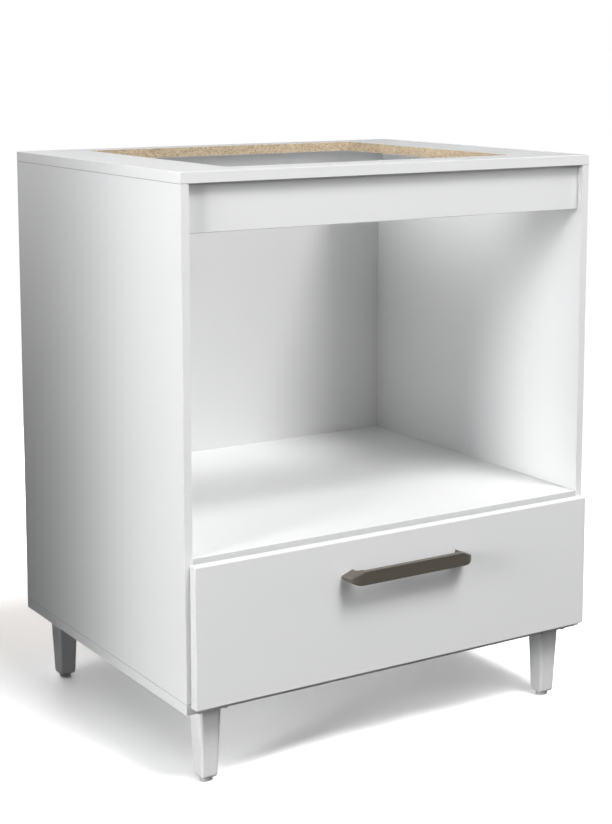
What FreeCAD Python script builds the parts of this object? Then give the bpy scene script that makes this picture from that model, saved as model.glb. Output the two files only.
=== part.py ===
import FreeCAD, Part
import os
import Sketcher

# Base cabinet with an opening in its worktop, an open niche above one drawer, and four tapered legs.
# Millimetres. X is the width, -Y the front, +Z up. The origin is the middle of the footprint on the floor.

SIZES = [
    # carcass
    ("body_width", 680), ("body_depth", 535), ("body_height", 720),
    ("board", 15), ("side_board", 12), ("back_board", 3), ("edge_break", 0.6),
    ("shelf_top", 213.5), ("apron_height", 65), ("apron_setback", 10),
    ("rear_rail_height", 80), ("back_margin", 2),
    # opening in the worktop
    ("cutout_side_margin", 100), ("cutout_front_margin", 60), ("cutout_rear_margin", 41.4),
    ("cutout_corner", 10),
    # legs and their glides
    ("leg_height", 104), ("leg_top", 34), ("leg_bottom", 25.5), ("leg_wall", 3), ("leg_floor", 4),
    ("leg_corner", 3), ("leg_inset_side", 45), ("leg_inset_front", 31), ("leg_inset_back", 42),
    ("flange_width", 50), ("flange_thickness", 3), ("flange_hole_offset", 20.5),
    ("glide_radius", 8.5), ("glide_height", 6), ("glide_peg", 7), ("glide_peg_length", 3.8),
    # drawer box and front
    ("front_gap", 2), ("front_reveal", 6), ("front_rise", 10), ("front_drop", 7.5), ("front_break", 1),
    ("drawer_board", 12), ("drawer_length", 450), ("drawer_height", 130), ("drawer_back_drop", 12),
    ("drawer_sheet", 3), ("sheet_rise", 10), ("groove_depth", 6), ("groove_play", 0.1),
    ("drawer_joint_low", 0.3), ("drawer_joint_high", 0.75),
    # roller slides of bent sheet
    ("slide_gap", 12.5), ("slide_rise", 15), ("slide_length", 450), ("slide_setback", 3),
    ("slide_sheet", 1.2), ("flange_reach", 10.5), ("lip_reach", 10), ("ledge_reach", 12), ("running_gap", 0.3),
    ("roller_radius", 10), ("roller_width", 7), ("roller_inset", 12), ("roller_bore_play", 0.05),
    ("pin_radius", 2), ("pin_head_radius", 3.5), ("pin_head", 0.9),
    ("drawer_travel", 340), ("stop_height", 3), ("stop_thickness", 1.2),
    ("slide_screw_first", 0.2), ("slide_screw_middle", 0.52), ("slide_screw_last", 0.84),
    # bow handle
    ("handle_length", 213), ("handle_height", 19), ("handle_projection", 26), ("handle_bar", 8),
    ("handle_foot", 18), ("handle_pitch", 192), ("handle_drop", 40), ("handle_end_drop", 9),
    ("handle_end_slope", 16.5), ("handle_end_round", 9.4), ("handle_corner", 17), ("handle_scoop", 13),
    # fasteners, with few sides because there are many of them
    ("fastener_sides", 6), ("drum_sides", 8),
    ("drum_radius", 7.3), ("drum_play", 0.2), ("drum_reach", 24), ("cam_inset_front", 60),
    ("cam_inset_back", 62), ("bolt_radius", 2.5), ("bolt_thread", 9), ("bolt_neck_radius", 1.8),
    ("bolt_head_radius", 3), ("bolt_play", 0.3),
    ("dowel_radius", 3), ("dowel_length", 24), ("dowel_seat", 8), ("dowel_offset", 24),
    ("screw_radius", 1.7), ("screw_head_radius", 3.4), ("screw_head", 1), ("screw_play", 0.2),
    ("screw_bite", 9), ("back_screw_bite", 18), ("pan_head", 2), ("base_screw_radius", 2.4),
    ("base_screw_length", 48), ("base_screw_head_radius", 4.5), ("base_screw_head", 3),
    ("nail_radius", 0.8), ("nail_head_radius", 2.5), ("nail_head", 0.6), ("nail_length", 15),
    ("nail_first", 0.1), ("nail_second", 0.37), ("nail_third", 0.64), ("nail_last", 0.9),
    ("nail_across", 0.25),
    ("handle_screw_radius", 1.95), ("handle_screw_head_radius", 4), ("handle_screw_bite", 9),
    ("handle_screw_play", 0.1),
    # how far a cutting shape runs past what it cuts
    ("overcut", 1),
]

# Places worked out from the sizes above.
PLACES = [
    ("side_in", "Size.body_width / 2 - Size.side_board"),
    ("front", "(Size.front_gap + Size.board + Size.handle_projection - Size.body_depth) / 2"),
    ("rear", "Place.front + Size.body_depth - Size.back_board - Size.nail_head"),
    ("base", "Size.leg_height + Size.glide_height"),
    ("floor_top", "Place.base + Size.board"),
    ("top_under", "Place.base + Size.body_height - Size.board"),
    ("shelf_top", "Place.base + Size.shelf_top"),
    ("shelf_under", "Place.shelf_top - Size.board"),
    ("apron_low", "Place.top_under - Size.apron_height"),
    ("rear_rail_low", "Place.top_under - Size.rear_rail_height"),
    ("front_back", "Place.front - Size.front_gap"),
    ("front_face", "Place.front_back - Size.board"),
    ("front_low", "Place.base + Size.front_rise"),
    ("front_top", "Place.shelf_top - Size.front_drop"),
    ("front_half", "Size.body_width / 2 - Size.front_reveal"),
    ("running", "Place.floor_top + Size.slide_rise"),
    ("drawer_out", "Place.side_in - Size.slide_gap"),
    ("drawer_in", "Place.drawer_out - Size.drawer_board"),
    ("drawer_rear", "Place.front_back + Size.drawer_length"),
    ("sheet_low", "Place.running + Size.sheet_rise"),
    ("sheet_top", "Place.sheet_low + Size.drawer_sheet + 2 * Size.groove_play"),
    ("slide_front", "Place.front + Size.slide_setback"),
    ("axle_height", "Size.running_gap + Size.roller_radius"),
    ("lip_under", "Place.axle_height + Size.roller_radius + Size.running_gap"),
    ("channel", "Place.lip_under + Size.slide_sheet + 2 * Size.running_gap"),
    ("web", "Size.slide_gap - Size.slide_sheet"),
    ("rail_roller_y", "Place.slide_front + Size.roller_inset"),
    ("runner_roller_y", "Place.drawer_rear - Size.roller_inset"),
    ("handle_top", "Place.front_top - Size.handle_drop"),
    ("handle_low", "Place.handle_top - Size.handle_height"),
    ("handle_back", "Place.front_face - Size.handle_projection + Size.handle_bar"),
    ("handle_front", "Place.front_face - Size.handle_projection"),
]

doc = FreeCAD.newDocument("BaseCabinet")
nodes = []

# how near two coordinates are when they count as the same
TOLERANCE = 0.01


def fill_sheet(name, rows, lead):
    sheet = doc.addObject("Spreadsheet::Sheet", name)
    for line, (alias, entry) in enumerate(rows, start=1):
        sheet.set("A%d" % line, alias.replace("_", " "))
        sheet.set("B%d" % line, lead + str(entry))
        sheet.setAlias("B%d" % line, alias)
    return sheet


size_sheet = fill_sheet("Size", SIZES, "")
place_sheet = fill_sheet("Place", PLACES, "=")
doc.recompute()


def value(text):
    return float(size_sheet.evalExpression(text))


def bind(item, texts):
    for path, text in texts.items():
        item.setExpression(path, text)
    return item


def put(item, at, facing=(0, 0, 1)):
    """Turn a piece's own +Z to facing and tie its origin to the three expressions in at."""
    item.Placement = FreeCAD.Placement(FreeCAD.Vector(), FreeCAD.Rotation(FreeCAD.Vector(0, 0, 1),
                                                                          FreeCAD.Vector(*facing)))
    return bind(item, {"Placement.Base." + axis: text for axis, text in zip("xyz", at)})


def node(item, label):
    item.Label = label
    nodes.append(item)
    return item


# Sketches and features

def new_sketch(body, plane, offset="0"):
    sketch = body.newObject("Sketcher::SketchObject", body.Name + "Sketch")
    support = [feature for feature in body.Origin.OriginFeatures if feature.Role == plane + "_Plane"]
    sketch.AttachmentSupport = [(support[0], "")]
    sketch.MapMode = "FlatFace"
    return bind(sketch, {"AttachmentOffset.Base.z": offset})


def tie(sketch, kind, geometry, point, text):
    """Hold one coordinate of a sketch point at an expression."""
    index = sketch.addConstraint(Sketcher.Constraint(kind, -1, 1, geometry, point, value(text)))
    sketch.renameConstraint(index, "c%d" % index)
    sketch.setExpression("Constraints.c%d" % index, text)


def polygon(sketch, points):
    first = sketch.GeometryCount
    corners = [FreeCAD.Vector(value(x), value(y), 0) for x, y in points]
    count = len(corners)
    for index, corner in enumerate(corners):
        sketch.addGeometry(Part.LineSegment(corner, corners[(index + 1) % count]))
    for index, (x, y) in enumerate(points):
        following = first + (index + 1) % count
        sketch.addConstraint(Sketcher.Constraint("Coincident", first + index, 2, following, 1))
        tie(sketch, "DistanceX", first + index, 1, x)
        tie(sketch, "DistanceY", first + index, 1, y)
    return sketch


def rectangle(sketch, low, high):
    return polygon(sketch, [low, (high[0], low[1]), high, (low[0], high[1])])


def extrude(body, kind, sketch, length, reverse=False):
    feature = body.newObject("PartDesign::" + kind, body.Name + kind)
    feature.Profile = sketch
    feature.Reversed = reverse
    bind(feature, {"Length": length})
    doc.recompute()
    return feature


def edges_where(feature, test):
    """Names of the edges whose two end points pass a test."""
    names = []
    for index, edge in enumerate(feature.Shape.Edges, start=1):
        ends = [vertex.Point for vertex in edge.Vertexes]
        if len(ends) == 2 and test(*ends):
            names.append("Edge%d" % index)
    return names


def dress(body, kind, base, edges, size):
    feature = body.newObject("PartDesign::" + kind, body.Name + kind)
    feature.Base = (base, edges)
    bind(feature, {"Radius" if kind == "Fillet" else "Size": size})
    doc.recompute()
    return feature


def section(name, plane, points, offset, length):
    """A profile of straight runs, extruded."""
    body = doc.addObject("PartDesign::Body", name)
    sketch = polygon(new_sketch(body, plane, offset), points)
    return body, extrude(body, "Pad", sketch, length)


def turned(name, profile):
    """A turned piece about its own Z, from (radius, height) pairs."""
    body = doc.addObject("PartDesign::Body", name)
    sketch = polygon(new_sketch(body, "XZ"), profile)
    feature = body.newObject("PartDesign::Revolution", name + "Turn")
    feature.Profile = sketch
    feature.ReferenceAxis = (sketch, ["V_Axis"])
    doc.recompute()
    return body


def panel(name, thick, low, high, edge="Size.edge_break"):
    """A board between two corners, its thickness along the axis thick, with its edges broken."""
    x, y, z = zip(low, high)
    spans = {"X": ("YZ", y, z, x[0], x), "Y": ("XZ", x, z, "-(%s)" % y[1], y), "Z": ("XY", x, y, z[0], z)}
    plane, across, along, offset, depth = spans[thick]
    body = doc.addObject("PartDesign::Body", name)
    sketch = rectangle(new_sketch(body, plane, offset), (across[0], along[0]), (across[1], along[1]))
    pad = extrude(body, "Pad", sketch, "%s - (%s)" % (depth[1], depth[0]))
    dress(body, "Chamfer", pad, ["Edge%d" % number for number in range(1, 13)], edge)
    return body


def groove(body, low, high):
    """A groove cut by a box between two corners; returns the cut board."""
    tool = doc.addObject("Part::Box", body.Name + "Groove")
    bind(tool, {side: "%s - (%s)" % (top, bottom)
                for side, bottom, top in zip(("Length", "Width", "Height"), low, high)})
    put(tool, low)
    board = doc.addObject("Part::Cut", body.Name + "Grooved")
    board.Base = body
    board.Tool = tool
    return board


def prism(name, sides, radius, low, high):
    """An upright prism with a regular outline between two heights."""
    item = doc.addObject("Part::Prism", name)
    bind(item, {"Polygon": sides, "Circumradius": radius, "Height": "%s - (%s)" % (high, low)})
    return put(item, ("0", "0", low))


def fastener(name, steps):
    """A straight fastener of stacked steps, each a radius with its low and high end."""
    item = doc.addObject("Part::MultiFuse", name)
    item.Shapes = [prism(name + "Step", "Size.fastener_sides", *step) for step in steps]
    return item


def bore(radius, depth, at, facing, sides="Size.fastener_sides"):
    return put(prism("Bore", sides, radius, "0", depth), at, facing)


def drilled(board, bores, name):
    tools = doc.addObject("Part::MultiFuse", name + "Bores")
    tools.Shapes = bores
    cut = doc.addObject("Part::Cut", name + "Drilled")
    cut.Base = board
    cut.Tool = tools
    return cut


def copy_of(prototype, rotation, at):
    copy = doc.addObject("App::Link", prototype.Name + "Copy")
    copy.LinkedObject = prototype
    copy.LinkTransform = False
    copy.Placement = FreeCAD.Placement(FreeCAD.Vector(), rotation)
    return bind(copy, {"Placement.Base." + axis: text for axis, text in zip("xyz", at)})


def facing_copy(prototype, at, facing):
    """A copy whose own +Z points to facing."""
    return copy_of(prototype, FreeCAD.Rotation(FreeCAD.Vector(0, 0, 1), FreeCAD.Vector(*facing)), at)


def group(label, copies):
    """One node of separate copies."""
    compound = doc.addObject("Part::Compound", label)
    compound.Links = copies
    return node(compound, label)


def mirrored(item, label):
    other = doc.addObject("Part::Mirroring", label)
    other.Source = item
    other.Normal = FreeCAD.Vector(1, 0, 0)
    return node(other, label)


def signed(side, text):
    return text if side > 0 else "-(%s)" % text


SIDES = (("left", -1), ("right", 1))
FORE = "Place.front + Size.cam_inset_front"
AFT = "Place.rear - Size.cam_inset_back"
MIDDLE = "(Place.front + Place.rear) / 2"


# Cam fittings: a drum in one board draws in the head of a bolt that is screwed into the next board

HEAD_ROOM = "(Size.bolt_head_radius + Size.bolt_play)"


def drum_depth(board):
    return "(%s / 2 + %s)" % (board, HEAD_ROOM)


def cam_drum(name, board):
    """A drum whose face is at height 0, with a mouth on its -X side for the bolt's head."""
    depth = drum_depth(board)
    mouth = doc.addObject("Part::Box", name + "Mouth")
    bind(mouth, {"Length": "Size.drum_radius + %s" % HEAD_ROOM, "Width": "2 * " + HEAD_ROOM,
                 "Height": "2 * " + HEAD_ROOM})
    put(mouth, ("-Size.drum_radius", "-" + HEAD_ROOM, "-" + depth))
    drum = doc.addObject("Part::Cut", name)
    drum.Base = prism(name + "Blank", "Size.drum_sides", "Size.drum_radius", "-" + depth, "0")
    drum.Tool = mouth
    return drum


def cam_bolt():
    """The bolt's joint plane is at height 0, its thread above and its head inside the drum below."""
    neck = "Size.drum_radius - Size.drum_reach - Size.bolt_play"
    head = "-Size.drum_reach + Size.bolt_neck_radius"
    return fastener("CamBolt", [
        ("Size.bolt_radius", neck, "Size.bolt_thread"), ("Size.bolt_neck_radius", head, neck),
        ("Size.bolt_head_radius", head + " - 2 * Size.bolt_neck_radius", head)])


def drum_bores(board, at_drum, face, at_joint, into):
    """The drum's pocket and the bolt's hole from the joint plane, both in the drum's board."""
    inward = [-part for part in face]
    back = [-part for part in into]
    return [bore("Size.drum_radius + Size.drum_play", drum_depth(board) + " + Size.drum_play", at_drum,
                 inward, "Size.drum_sides"),
            bore("Size.bolt_head_radius + Size.bolt_play",
                 "Size.drum_reach + Size.bolt_neck_radius + Size.bolt_play", at_joint, back)]


def thread_bore(at_joint, into):
    return bore("Size.bolt_radius + Size.drum_play", "Size.bolt_thread + Size.bolt_play", at_joint, into)


def fitted_drum(prototype, at, face, into):
    """A copy of a drum with its face turned to face and its mouth to the bolt."""
    z_axis = FreeCAD.Vector(*face)
    x_axis = -FreeCAD.Vector(*into)
    return copy_of(prototype, FreeCAD.Rotation(x_axis, z_axis.cross(x_axis), z_axis, "ZXY"), at)


def screw(name, head_radius, head, shank_radius, length):
    """A screw with the underside of its head at height 0 and its shank above."""
    return fastener(name, [(head_radius, "-(%s)" % head, "0"), (shank_radius, "0", length)])


thin_drum = cam_drum("ThinDrum", "Size.side_board")
thick_drum = cam_drum("ThickDrum", "Size.board")
drawer_drum = cam_drum("DrawerDrum", "Size.drawer_board")
bolt = cam_bolt()
dowel = prism("Dowel", "Size.fastener_sides", "Size.dowel_radius", "0", "Size.dowel_length")

side_bores = {-1: [], 1: []}
board_bores = {"top": [], "shelf": [], "apron": [], "rear_rail": [], "bottom": []}
carcass_drums = []
carcass_bolts = []
carcass_dowels = []


def join_across(key, side, prototype, thickness, at_drum, at_joint, face):
    """A cam in a cross board that draws it against one side panel."""
    into = (side, 0, 0)
    at_drum = (signed(side, "(Place.side_in - Size.drum_reach)"), *at_drum)
    at_joint = (signed(side, "Place.side_in"), *at_joint)
    board_bores[key].extend(drum_bores(thickness, at_drum, face, at_joint, into))
    side_bores[side].append(thread_bore(at_joint, into))
    carcass_drums.append(fitted_drum(prototype, at_drum, face, into))
    carcass_bolts.append(facing_copy(bolt, at_joint, into))


def dowel_across(key, side, y, z):
    at_joint = (signed(side, "Place.side_in"), y, z)
    for bores, depth, facing in ((side_bores[side], "Size.dowel_seat", side),
                                 (board_bores[key], "Size.dowel_length - Size.dowel_seat", -side)):
        bores.append(bore("Size.dowel_radius + Size.screw_play", depth + " + Size.bolt_play",
                          at_joint, (facing, 0, 0)))
    at_seat = (signed(side, "(Place.side_in + Size.dowel_seat)"), y, z)
    carcass_dowels.append(facing_copy(dowel, at_seat, (-side, 0, 0)))


def join_side_to_top(side, y):
    at_drum = (signed(side, "Place.side_in"), y, "Place.top_under - Size.drum_reach")
    at_joint = (signed(side, "(Place.side_in + Size.side_board / 2)"), y, "Place.top_under")
    face = (-side, 0, 0)
    side_bores[side].extend(drum_bores("Size.side_board", at_drum, face, at_joint, (0, 0, 1)))
    board_bores["top"].append(thread_bore(at_joint, (0, 0, 1)))
    carcass_drums.append(fitted_drum(thin_drum, at_drum, face, (0, 0, 1)))
    carcass_bolts.append(facing_copy(bolt, at_joint, (0, 0, 1)))


base_screw = screw("BaseScrew", "Size.base_screw_head_radius", "Size.base_screw_head",
                   "Size.base_screw_radius", "Size.base_screw_length - Size.base_screw_head")
base_screws = []


def screw_side_to_base(side, y):
    x = signed(side, "(Place.side_in + Size.side_board / 2)")
    length = "Size.base_screw_length"
    loose = "Size.base_screw_radius + Size.screw_play"
    board_bores["bottom"].append(bore("Size.base_screw_head_radius + Size.screw_play",
                                      "Size.base_screw_head", (x, y, "Place.base"), (0, 0, 1)))
    board_bores["bottom"].append(bore(loose, length, (x, y, "Place.base"), (0, 0, 1)))
    side_bores[side].append(bore(loose, length + " - Size.board + Size.screw_play",
                                 (x, y, "Place.floor_top"), (0, 0, 1)))
    base_screws.append(facing_copy(base_screw, (x, y, "Place.base + Size.base_screw_head"), (0, 0, 1)))


SHELF_Z = "Place.shelf_top - Size.board / 2"
APRON_Y = "Place.front + Size.apron_setback + Size.board / 2"
APRON_BACK = "Place.front + Size.apron_setback + Size.board"
REAR_RAIL_Y = "Place.rear - Size.side_board / 2"
REAR_RAIL_FRONT = "Place.rear - Size.side_board"
APRON_CAM_Z = "Place.apron_low + (Size.apron_height - Size.dowel_offset) / 2"
REAR_CAM_Z = "Place.rear_rail_low + (Size.rear_rail_height - Size.dowel_offset) / 2"

for name, side in SIDES:
    for y in (FORE, AFT):
        join_side_to_top(side, y)
        join_across("shelf", side, thick_drum, "Size.board", (y, "Place.shelf_under"), (y, SHELF_Z),
                    (0, 0, -1))
        screw_side_to_base(side, y)
    join_across("apron", side, thick_drum, "Size.board", (APRON_BACK, APRON_CAM_Z), (APRON_Y, APRON_CAM_Z),
                (0, 1, 0))
    join_across("rear_rail", side, thin_drum, "Size.side_board", (REAR_RAIL_FRONT, REAR_CAM_Z),
                (REAR_RAIL_Y, REAR_CAM_Z), (0, -1, 0))
    dowel_across("apron", side, APRON_Y, APRON_CAM_Z + " + Size.dowel_offset")
    dowel_across("rear_rail", side, REAR_RAIL_Y, REAR_CAM_Z + " + Size.dowel_offset")
    dowel_across("shelf", side, MIDDLE, SHELF_Z)


# Legs, glides and their screws

LEG_SPOTS = [(place + "_" + name, signed(side, "(Size.body_width / 2 - Size.leg_inset_side)"), y)
             for place, y in (("front", "Place.front + Size.leg_inset_front"),
                              ("rear", "Place.front + Size.body_depth - Size.leg_inset_back"))
             for name, side in SIDES]
FLANGE_CORNERS = [(across, along) for across in (-1, 1) for along in (-1, 1)]


def square(body, width, height):
    half = "(%s) / 2" % width
    return rectangle(new_sketch(body, "XY", height), ("-" + half, "-" + half), (half, half))


def taper(body, kind, wide, narrow, top, bottom):
    """A square shaft between two heights, its section shrinking from wide to narrow."""
    feature = body.newObject("PartDesign::%sWedge" % kind, body.Name + kind)
    feature.Placement = FreeCAD.Placement(FreeCAD.Vector(), FreeCAD.Rotation(FreeCAD.Vector(1, 0, 0), -90))
    bind(feature, {"Placement.Base.z": top, "Ymin": "0", "Ymax": "%s - (%s)" % (top, bottom)})
    for axis in "XZ":
        bind(feature, {axis + "min": "-(%s) / 2" % wide, axis + "max": "(%s) / 2" % wide,
                       axis + "2min": "-(%s) / 2" % narrow, axis + "2max": "(%s) / 2" % narrow})
    doc.recompute()
    return feature


def leg(name, x, y):
    """A moulded leg: screwed flange, hollow tapered square shank, closed foot with a glide socket."""
    body = doc.addObject("PartDesign::Body", "Leg")
    shank = taper(body, "Additive", "Size.leg_top", "Size.leg_bottom", "-Size.flange_thickness",
                  "-Size.leg_height")
    slanted = edges_where(shank, lambda a, b: abs(a.z - b.z) > value("Size.leg_height") / 2)
    dress(body, "Fillet", shank, slanted, "Size.leg_corner")
    extrude(body, "Pad", square(body, "Size.flange_width", "-Size.flange_thickness"),
            "Size.flange_thickness")
    inside = "%s - 2 * Size.leg_wall"
    taper(body, "Subtractive", inside % "Size.leg_top", inside % "Size.leg_bottom", "0",
          "Size.leg_floor - Size.leg_height")
    extrude(body, "Pocket", square(body, "Size.glide_peg + Size.screw_play", "-Size.leg_height"),
            "Size.leg_floor", True)
    holes = [bore("Size.screw_radius + Size.screw_play", "Size.flange_thickness",
                  (signed(across, "Size.flange_hole_offset"), signed(along, "Size.flange_hole_offset"),
                   "-Size.flange_thickness"), (0, 0, 1)) for across, along in FLANGE_CORNERS]
    return node(put(drilled(body, holes, "Leg"), (x, y, "Place.base")), name)


def glide(name, x, y):
    """A round nylon foot with a square peg that presses into the leg."""
    body = turned(name, [("0", "0"), ("Size.glide_radius", "0"), ("Size.glide_radius", "Size.glide_height"),
                         ("0", "Size.glide_height")])
    extrude(body, "Pad", square(body, "Size.glide_peg", "Size.glide_height"), "Size.glide_peg_length")
    return node(put(body, (x, y, "0")), name)


leg_screw = screw("LegScrew", "Size.screw_head_radius", "Size.pan_head", "Size.screw_radius",
                  "Size.flange_thickness + Size.screw_bite")
leg_screws = []
for spot, x, y in LEG_SPOTS:
    leg("leg_" + spot, x, y)
    glide("glide_" + spot, x, y)
    for across, along in FLANGE_CORNERS:
        hole_x = "%s + %s" % (x, signed(across, "Size.flange_hole_offset"))
        hole_y = "%s + %s" % (y, signed(along, "Size.flange_hole_offset"))
        board_bores["bottom"].append(bore("Size.screw_radius + Size.screw_play",
                                          "Size.screw_bite + Size.screw_play",
                                          (hole_x, hole_y, "Place.base"), (0, 0, 1)))
        leg_screws.append(facing_copy(leg_screw, (hole_x, hole_y, "Place.base - Size.flange_thickness"),
                                      (0, 0, 1)))
group("leg_screws", leg_screws)


# Roller slides. The left-hand members are drawn from the inner face of the left side panel (X = 0)
# towards the drawer, with the running surface of the rail at Z = 0; the right-hand ones are their mirror.

SCREW_STATIONS = ("Size.slide_screw_first", "Size.slide_screw_middle", "Size.slide_screw_last")
AXLE_Z = "Place.running + Place.axle_height"
RUNNER_FRONT = "Place.front_back + Size.running_gap"
RUNNER_LENGTH = "(Size.drawer_length - 2 * Size.running_gap)"


def slide_rail():
    """The member on the side panel: a channel whose lower flange stops short of its front roller."""
    sheet = "Size.slide_sheet"
    body, _ = section("SlideRail", "XZ", [
        ("0", "-" + sheet), ("Size.flange_reach", "-" + sheet), ("Size.flange_reach", "0"), (sheet, "0"),
        (sheet, "Place.channel"), ("Size.flange_reach", "Place.channel"),
        ("Size.flange_reach", "Place.channel + " + sheet), ("0", "Place.channel + " + sheet)],
        "-Size.slide_length", "Size.slide_length")
    gap = rectangle(new_sketch(body, "XY", "-" + sheet), (sheet, "-Size.overcut"),
                    ("Size.flange_reach + Size.overcut",
                     "Size.roller_inset + Size.roller_radius + Size.running_gap"))
    extrude(body, "Pocket", gap, sheet, True)
    # the two stops stand where the runner's roller ends its travel, open and shut
    touch = "(sqrt(Size.roller_radius^2 - (Place.axle_height - Size.stop_height)^2) + Size.running_gap)"
    shut = "Place.runner_roller_y - Place.slide_front"
    stop_ends = ("%s - Size.drawer_travel - %s - Size.stop_thickness" % (shut, touch),
                 "%s + %s" % (shut, touch))
    for start in stop_ends:
        stop = rectangle(new_sketch(body, "XZ", "-(%s + Size.stop_thickness)" % start), (sheet, "0"),
                         ("Size.flange_reach", "Size.stop_height"))
        extrude(body, "Pad", stop, "Size.stop_thickness")
    holes = [bore("Size.screw_radius + Size.screw_play", sheet,
                  ("0", share + " * Size.slide_length", "Place.axle_height"), (1, 0, 0))
             for share in SCREW_STATIONS]
    return put(drilled(body, holes, "SlideRail"), ("-Place.side_in", "Place.slide_front", "Place.running"))


def slide_runner():
    """The member on the drawer: a ledge under the side, a web and a lip that rides the rail's roller."""
    body, _ = section("SlideRunner", "XZ", [
        ("Place.web", "-Size.slide_sheet"), ("Size.slide_gap + Size.ledge_reach", "-Size.slide_sheet"),
        ("Size.slide_gap + Size.ledge_reach", "0"), ("Size.slide_gap", "0"),
        ("Size.slide_gap", "Place.lip_under + Size.slide_sheet"),
        ("Size.slide_gap - Size.lip_reach", "Place.lip_under + Size.slide_sheet"),
        ("Size.slide_gap - Size.lip_reach", "Place.lip_under"), ("Place.web", "Place.lip_under")],
        "-" + RUNNER_LENGTH, RUNNER_LENGTH)
    holes = [bore("Size.screw_radius + Size.screw_play", "Size.slide_sheet",
                  ("Size.slide_gap + Size.ledge_reach / 2", share + " * " + RUNNER_LENGTH,
                   "-Size.slide_sheet"), (0, 0, 1)) for share in SCREW_STATIONS]
    return put(drilled(body, holes, "SlideRunner"), ("-Place.side_in", RUNNER_FRONT, "Place.running"))


def roller(label, side, reach, y):
    """A nylon wheel on a pin along X, its outer face at reach from the side panel."""
    bore_radius = "Size.pin_radius + Size.roller_bore_play"
    body = turned(label, [(bore_radius, "0"), ("Size.roller_radius", "0"),
                          ("Size.roller_radius", "Size.roller_width"), (bore_radius, "Size.roller_width")])
    outer_face = signed(side, "(Place.side_in - (%s))" % reach)
    return node(put(body, (outer_face, y, AXLE_Z), (-side, 0, 0)), label)


rail = node(slide_rail(), "slide_rail_left")
mirrored(rail, "slide_rail_right")
runner = node(slide_runner(), "slide_runner_left")
mirrored(runner, "slide_runner_right")

for name, side in SIDES:
    roller("rail_roller_" + name, side, "Size.slide_sheet + Size.running_gap", "Place.rail_roller_y")
    roller("runner_roller_" + name, side, "Place.web - Size.running_gap - Size.roller_width",
           "Place.runner_roller_y")

# the pins are staked to the webs, with a head that keeps the roller on
PIN_REACH = "(2 * Size.running_gap + Size.roller_width)"
pin = doc.addObject("Part::MultiFuse", "RollerPin")
pin_shank = doc.addObject("Part::Cylinder", "RollerPinShank")
pin.Shapes = [bind(pin_shank, {"Radius": "Size.pin_radius", "Height": PIN_REACH}),
              prism("RollerPinHead", "Size.drum_sides", "Size.pin_head_radius", PIN_REACH,
                    PIN_REACH + " + Size.pin_head")]
group("slide_rail_pins", [facing_copy(pin, (signed(side, "(Place.side_in - Size.slide_sheet)"),
                                            "Place.rail_roller_y", AXLE_Z), (-side, 0, 0))
                          for name, side in SIDES])
group("slide_runner_pins", [facing_copy(pin, (signed(side, "(Place.drawer_out + Size.slide_sheet)"),
                                              "Place.runner_roller_y", AXLE_Z), (side, 0, 0))
                            for name, side in SIDES])

slide_screw = screw("SlideScrew", "Size.screw_head_radius", "Size.screw_head", "Size.screw_radius",
                    "Size.slide_sheet + Size.screw_bite")
drawer_side_bores = {-1: [], 1: []}
rail_screws = []
runner_screws = []
for name, side in SIDES:
    for share in SCREW_STATIONS:
        rail_y = "Place.slide_front + %s * Size.slide_length" % share
        side_bores[side].append(bore("Size.screw_radius + Size.screw_play",
                                     "Size.screw_bite + Size.screw_play",
                                     (signed(side, "Place.side_in"), rail_y, AXLE_Z), (side, 0, 0)))
        rail_screws.append(facing_copy(slide_screw, (signed(side, "(Place.side_in - Size.slide_sheet)"),
                                                     rail_y, AXLE_Z), (side, 0, 0)))
        ledge_x = signed(side, "(Place.drawer_out - Size.ledge_reach / 2)")
        ledge_y = "%s + %s * %s" % (RUNNER_FRONT, share, RUNNER_LENGTH)
        drawer_side_bores[side].append(bore("Size.screw_radius + Size.screw_play",
                                            "Size.screw_bite + Size.screw_play",
                                            (ledge_x, ledge_y, "Place.running"), (0, 0, 1)))
        runner_screws.append(facing_copy(slide_screw, (ledge_x, ledge_y, "Place.running - Size.slide_sheet"),
                                         (0, 0, 1)))
group("slide_rail_screws", rail_screws)
group("slide_runner_screws", runner_screws)


# Drawer

drawer_front_bores = []
drawer_back_bores = []
drawer_drums = []
drawer_bolts = []
back_screws = []
DRAWER_TOP = "Place.running + Size.drawer_height"
BACK_TOP = DRAWER_TOP + " - Size.drawer_back_drop"
BACK_Y = "Place.drawer_rear - Size.drawer_board / 2"
HANDLE_Z = "(Place.handle_top + Place.handle_low) / 2"
back_screw = screw("BackScrew", "Size.screw_head_radius", "Size.screw_head", "Size.screw_radius",
                   "Size.drawer_board - Size.screw_head + Size.back_screw_bite")

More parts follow.
